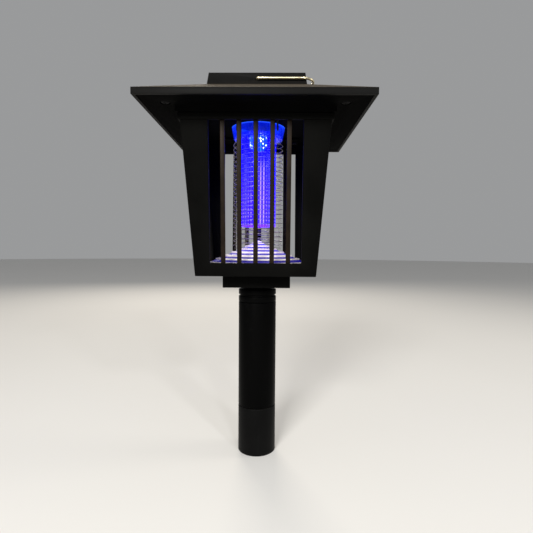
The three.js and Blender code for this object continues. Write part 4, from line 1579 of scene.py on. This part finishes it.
@dataclass
class Lamp:
    """The lit cup, the light guide that hangs from it and the diode's diffuser."""

    guide_radius: float = 15.0
    guide_wall: float = 2.4
    cup_radius: float = 22.0
    cup_taper: float = 1.6
    cup_wall: float = 1.5
    lens_radius: float = 7.4
    lens_drop: float = 4.0
    lens_rings: int = 6
    flutes: int = 36
    flute_steps: int = 6
    flute_depth: float = 0.55

    def cup(self) -> None:
        """A flared cup with a rolled foot."""
        low, high = span("lamp_cup")
        inner = self.guide_radius + 0.3
        foot, seat = self.cup_radius - self.cup_taper, low.z + 9.3
        wall, flange = self.cup_wall, high.z - 1.4
        reach = (high.x - low.x) / 2
        profile = [
            (inner, low.z), (foot - 1, low.z), (foot - 0.2, low.z + 0.4), (foot, low.z + 1.2),
            (foot + 0.5, low.z + 4), (self.cup_radius - 0.4, low.z + 7), (self.cup_radius, seat),
            (self.cup_radius, flange), (reach, flange), (reach, high.z),
            (self.cup_radius - wall, high.z), (self.cup_radius - wall, seat),
            (foot - wall, low.z + 1.8), (inner, low.z + 1.6), (inner, low.z),
        ]
        cup = Bench.turned("lamp_cup_shell", profile)
        Bench.smooth(cup)
        finish = LitCup(
            "lit_cup", "clear_cup", (0.008, 0.03, 0.45), 0.18, low=low.z * MM, high=(low.z + 9.3) * MM
        )
        dress(cup, finish, Body.HEAD, "lamp_cup")

    def guide(self) -> None:
        """The long fluted tube that spreads the lamp's light."""
        low, high = span("light_guide")
        reach = (high.x - low.x) / 2
        sides = self.flutes * self.flute_steps
        tube = Bench.rod("light_guide_tube", self.guide_radius, low.z, high.z - 1.6, sides=sides)
        for step in range(1, self.flute_steps):
            dip = self.flute_depth * math.sin(step / self.flute_steps * FULL_TURN / 2) ** 0.5
            self.press(tube, step, 1 - (self.flute_depth - dip) / self.guide_radius)
        self.press(tube, 0, 1 - self.flute_depth / self.guide_radius)
        Bench.clear()
        flange = Bench.rod("flange", reach, high.z - 1.6, high.z, sides=96)
        bore = Bench.rod("bore", self.guide_radius - self.guide_wall, low.z - 1, high.z + 1, sides=96)
        Bench.carve(tube, flange, how="UNION")
        Bench.carve(tube, bore)
        Bench.smooth(tube)
        finish = LitGuide(
            "lit_guide", "blue_guide", (0.0003, 0.0004, 0.34), 0.22, low=low.z * MM, high=high.z * MM,
            flutes=self.flutes,
        )
        dress(tube, finish, Body.HEAD, "light_guide")

    def press(self, tube: bpy.types.Object, step: int, grow: float) -> None:
        """Draws one vertical line of every flute in or out.

        Args:
            tube: the tube.
            step: which of a flute's lines.
            grow: the line's new share of the tube's radius.
        """
        Bench.hold(tube)
        bpy.ops.object.mode_set(mode="EDIT")
        bpy.ops.mesh.select_mode(type="VERT")
        bpy.ops.mesh.select_all(action="DESELECT")
        mesh = bmesh.from_edit_mesh(tube.data)
        share = FULL_TURN / (self.flutes * self.flute_steps)
        for vertex in mesh.verts:
            line = round(math.atan2(vertex.co.y, vertex.co.x) / share)
            vertex.select_set(line % self.flute_steps == step)
        bmesh.update_edit_mesh(tube.data)
        bpy.ops.transform.resize(value=(grow, grow, 1), center_override=(0, 0, 0))

    def lens(self) -> None:
        """A domed diffuser with shallow rings over the diode."""
        low, high = span("uv_led")
        radius, foot = self.lens_radius, low.z - self.lens_drop
        profile = [(0, foot)]
        for index in range(1, self.lens_rings + 1):
            angle = index / self.lens_rings * FULL_TURN / 4
            drop = radius * 0.8 * (1 - math.cos(angle))
            profile.append((radius * math.sin(angle), foot + drop))
        profile += [(radius, high.z), (0, high.z)]
        lens = Bench.turned("led_diffuser_dome", profile, 48)
        Bench.smooth(lens)
        dress(lens, DOME_PLASTIC, Body.HEAD, "uv_led")

    def build(self) -> None:
        """Builds and dresses the lamp."""
        self.cup()
        self.guide()
        self.lens()


# ---------------------------------------------------------------- grid


@dataclass
class Grid:
    """The high-voltage grid: two wires wound on notched posts."""

    radius: float = 20.5
    wire: float = 0.45
    drawn_wire: float = 0.30
    pitch: float = 7.56
    posts: int = 6
    post_width: float = 2.4
    post_low: float = 17.1
    post_high: float = 19.3
    tooth_high: float = 20.3
    tooth_share: float = 0.5
    ring_low: float = 17.2
    ring_high: float = 20.1
    wire_sides: int = 8
    steps_per_turn: int = 48

    def winding(self) -> tuple[float, float]:
        """The heights between which the wires are wound."""
        low, high = span("grid_wire_live")
        return low.z + self.wire, high.z - self.wire

    def wires(self) -> None:
        """One round wire wound up the posts, and its twin half a turn behind."""
        low, high = self.winding()
        turns = (high - low) / self.pitch
        Bench.clear()
        bpy.ops.mesh.primitive_circle_add(
            vertices=self.wire_sides, radius=self.drawn_wire * MM, location=(self.radius * MM, 0, low * MM),
            rotation=(FULL_TURN / 4, 0, 0),
        )
        wire = Bench.settle(bpy.context.object, "wound_wire")
        steps = round(turns * self.steps_per_turn)
        Bench.modify(
            wire, "SCREW", axis="Z", angle=turns * FULL_TURN, screw_offset=(high - low) * MM, iterations=1,
            steps=steps, render_steps=steps, use_merge_vertices=False,
        )
        Bench.hold(wire)
        bpy.ops.object.mode_set(mode="EDIT")
        bpy.ops.mesh.select_all(action="SELECT")
        bpy.ops.mesh.fill_holes(sides=self.wire_sides)
        Bench.close()
        bpy.ops.object.shade_smooth()
        for name, turn in (("live", 0.0), ("return", FULL_TURN / 2)):
            wound = Bench.copy(wire, f"wound_wire_{name}", Matrix.Rotation(turn, 4, "Z"))
            dress(wound, GRID_STEEL, Body.HEAD, f"grid_wire_{name}")
        bpy.data.objects.remove(wire)

    def post(self, index: int, low: float, high: float) -> bpy.types.Object:
        """One post, with a tooth between each two wires.

        Args:
            index: its number around the ring.
            low: its lower height.
            high: its upper height.

        Returns:
            The post, turned into place.
        """
        half = self.post_width / 2
        post = Bench.block("post", (self.post_low, -half, low), (self.post_high, half, high))
        spacing = self.pitch / 2
        first, last = self.winding()
        turn = index / self.posts
        start = first + (turn * self.pitch) % spacing + spacing * (1 - self.tooth_share) / 2
        count = int((last - start) / spacing)
        tall = spacing * self.tooth_share
        tooth = Bench.block(
            "tooth", (self.post_high - 0.2, -half, start), (self.tooth_high, half, start + tall)
        )
        Bench.modify(
            tooth, "ARRAY", count=count, use_relative_offset=False, use_constant_offset=True,
            constant_offset_displace=(0, 0, spacing * MM),
        )
        Bench.merge(post, tooth)
        post.matrix_world = Matrix.Rotation(turn * FULL_TURN, 4, "Z")
        return Bench.settle(post, "post")

    def frame(self) -> None:
        """Two rings with the posts between them."""
        low, high = span("grid_frame")
        rings = []
        for bottom, top in ((low.z, low.z + 2.2), (high.z - 2, high.z)):
            inner, outer = self.ring_low, self.ring_high
            outline = [(inner, bottom), (outer, bottom), (outer, top), (inner, top), (inner, bottom)]
            rings.append(Bench.turned("ring", outline, 72))
        posts = [self.post(index, low.z + 0.4, high.z - 0.4) for index in range(self.posts)]
        frame = Bench.settle(Bench.merge(*rings, *posts), "comb_frame")
        Bench.soften(frame, 0.15, segments=2)
        dress(frame, FRAME_PLASTIC, Body.HEAD, "grid_frame")

    def build(self) -> None:
        """Builds and dresses the grid."""
        self.frame()
        self.wires()


# ---------------------------------------------------------------- bail


@dataclass
class Bail:
    """The wire handle, folded flat beside the panel's box."""

    wire: float = 0.95
    pin_end: float = 35.0
    bend: float = 1.6
    corner: float = 9.0
    bend_steps: int = 10

    def build(self) -> None:
        """One bent wire from pin to pin."""
        low, high = span("wire_bail")
        side, reach = high.y - self.wire, high.x - self.wire
        height = (low.z + high.z) / 2
        path = [
            (0, -self.pin_end), (0, -side), (reach, -side), (reach, side), (0, side), (0, self.pin_end)
        ]
        piece = Bench.path([Vector((x, y, height)) for x, y in path])
        self.round_corners(piece, lambda vertex: abs(vertex.x - reach * MM) < MM, self.corner)
        self.round_corners(
            piece, lambda vertex: abs(vertex.x) < MM / 100 and abs(vertex.y) > (side - 0.1) * MM, self.bend
        )
        bpy.ops.object.mode_set(mode="OBJECT")
        bpy.ops.object.convert(target="CURVE")
        piece = bpy.context.object
        piece.data.bevel_depth = self.wire * MM
        piece.data.bevel_resolution = 4
        piece.data.use_fill_caps = True
        bpy.ops.object.convert(target="MESH")
        piece = Bench.settle(bpy.context.object, "bail_wire")
        bpy.ops.object.mode_set(mode="EDIT")
        Bench.close()
        Bench.smooth(piece)
        dress(piece, BAIL_STEEL, Body.BAIL, "wire_bail")

    def round_corners(self, piece: bpy.types.Object, test: Callable[[Vector], bool], radius: float) -> None:
        """Turns the picked corners of the path into bends.

        Args:
            piece: the path, in edit mode.
            test: says whether a corner is wanted, by its place.
            radius: how far from the corner the bend starts.
        """
        bpy.ops.mesh.select_all(action="DESELECT")
        mesh = bmesh.from_edit_mesh(piece.data)
        for vertex in mesh.verts:
            vertex.select_set(test(vertex.co))
        bmesh.update_edit_mesh(piece.data)
        bpy.ops.mesh.bevel(
            offset=radius * MM, offset_type="OFFSET", segments=self.bend_steps, affect="VERTICES",
            clamp_overlap=False,
        )


# ---------------------------------------------------------------- studio


@dataclass
class Softbox:
    """One large soft light that looks at a point."""

    name: str
    place: Point
    aim: Point
    width: float
    power: float
    colour: Colour = (1.0, 1.0, 1.0)

    def build(self) -> None:
        """Hangs the light."""
        data = bpy.data.lights.new(self.name, "AREA")
        data.shape = "RECTANGLE"
        data.size = self.width
        data.size_y = self.width
        data.energy = self.power
        data.color = self.colour
        lamp = bpy.data.objects.new(self.name, data)
        bpy.context.scene.collection.objects.link(lamp)
        lamp.location = self.place
        lamp.rotation_euler = (Vector(self.aim) - Vector(self.place)).to_track_quat("-Z", "Y").to_euler()


@dataclass
class Studio:
    """A pale floor, soft light and the camera."""

    floor_size: float = 12.0
    floor_colour: Colour = (0.74, 0.73, 0.71)
    air: Colour = (0.80, 0.81, 0.82)
    air_strength: float = 0.40
    eye: Point = (0.01246, -0.34770, 0.17354)
    yaw: float = 0.014
    pitch: float = 0.046
    roll: float = 0.007
    lens: float = 27.64
    lights: list[Softbox] = field(
        default_factory=lambda: [
            Softbox("key", (-0.35, -1.15, 0.74), (0, 0, 0.20), 0.40, 17.0, (1.0, 0.98, 0.94)),
            Softbox("side", (1.10, 0.10, 0.62), (0, 0, 0.22), 0.40, 2.5, (1.0, 0.95, 0.86)),
            Softbox("back", (-0.25, 1.25, 0.95), (0, 0, 0.28), 0.6, 9.0, (1.0, 0.92, 0.80)),
            Softbox("strip_near", (0.33, -1.15, 0.72), (0, 0, 0.22), 0.10, 3.0),
            Softbox("strip_far", (0.62, -1.02, 0.72), (0, 0, 0.22), 0.10, 3.0),
        ]
    )

    def floor(self) -> None:
        """A plain matt floor at the level of the soil."""
        Bench.clear()
        bpy.ops.mesh.primitive_circle_add(vertices=128, radius=self.floor_size / 2, fill_type="NGON")
        floor = Bench.settle(bpy.context.object, "studio_floor")
        desk = Desk("studio_floor")
        cloud = desk.noise(0.25, 4)
        floor.data.materials.append(
            desk.finish(
                Base_Color=desk.blend(cloud, scaled(self.floor_colour, 0.97), self.floor_colour),
                Roughness=0.85 + (cloud - 0.5) * 0.1,
                Specular_IOR_Level=0.2,
            )
        )

    def surroundings(self) -> None:
        """Even pale light from all round."""
        world = bpy.data.worlds.new("studio_air")
        world.use_nodes = True
        background = world.node_tree.nodes["Background"]
        background.inputs["Color"].default_value = (*self.air, 1)
        background.inputs["Strength"].default_value = self.air_strength
        bpy.context.scene.world = world
        bpy.context.scene.view_settings.view_transform = "Standard"

    def camera(self) -> None:
        """The camera, placed by its eye point and its three turns."""
        data = bpy.data.cameras.new("camera")
        data.lens = self.lens
        data.sensor_width = 36
        data.clip_start = 0.01
        camera = bpy.data.objects.new("camera", data)
        bpy.context.scene.collection.objects.link(camera)
        turned = (
            Matrix.Rotation(self.yaw, 4, "Z")
            @ Matrix.Rotation(FULL_TURN / 4 - self.pitch, 4, "X")
            @ Matrix.Rotation(self.roll, 4, "Z")
        )
        camera.matrix_world = Matrix.Translation(self.eye) @ turned
        bpy.context.scene.camera = camera

    def build(self) -> None:
        """Sets the studio up."""
        self.floor()
        self.surroundings()
        for light in self.lights:
            light.build()
        self.camera()


def main() -> None:
    """Builds the zapper around its frame, then the studio."""
    logging.basicConfig(level=logging.INFO, format="%(message)s")
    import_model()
    for assembly in (Stake, Cage, Roof, Electronics, Lamp, Grid, Bail, Studio):
        assembly().build()


if __name__ == "__main__":
    main()
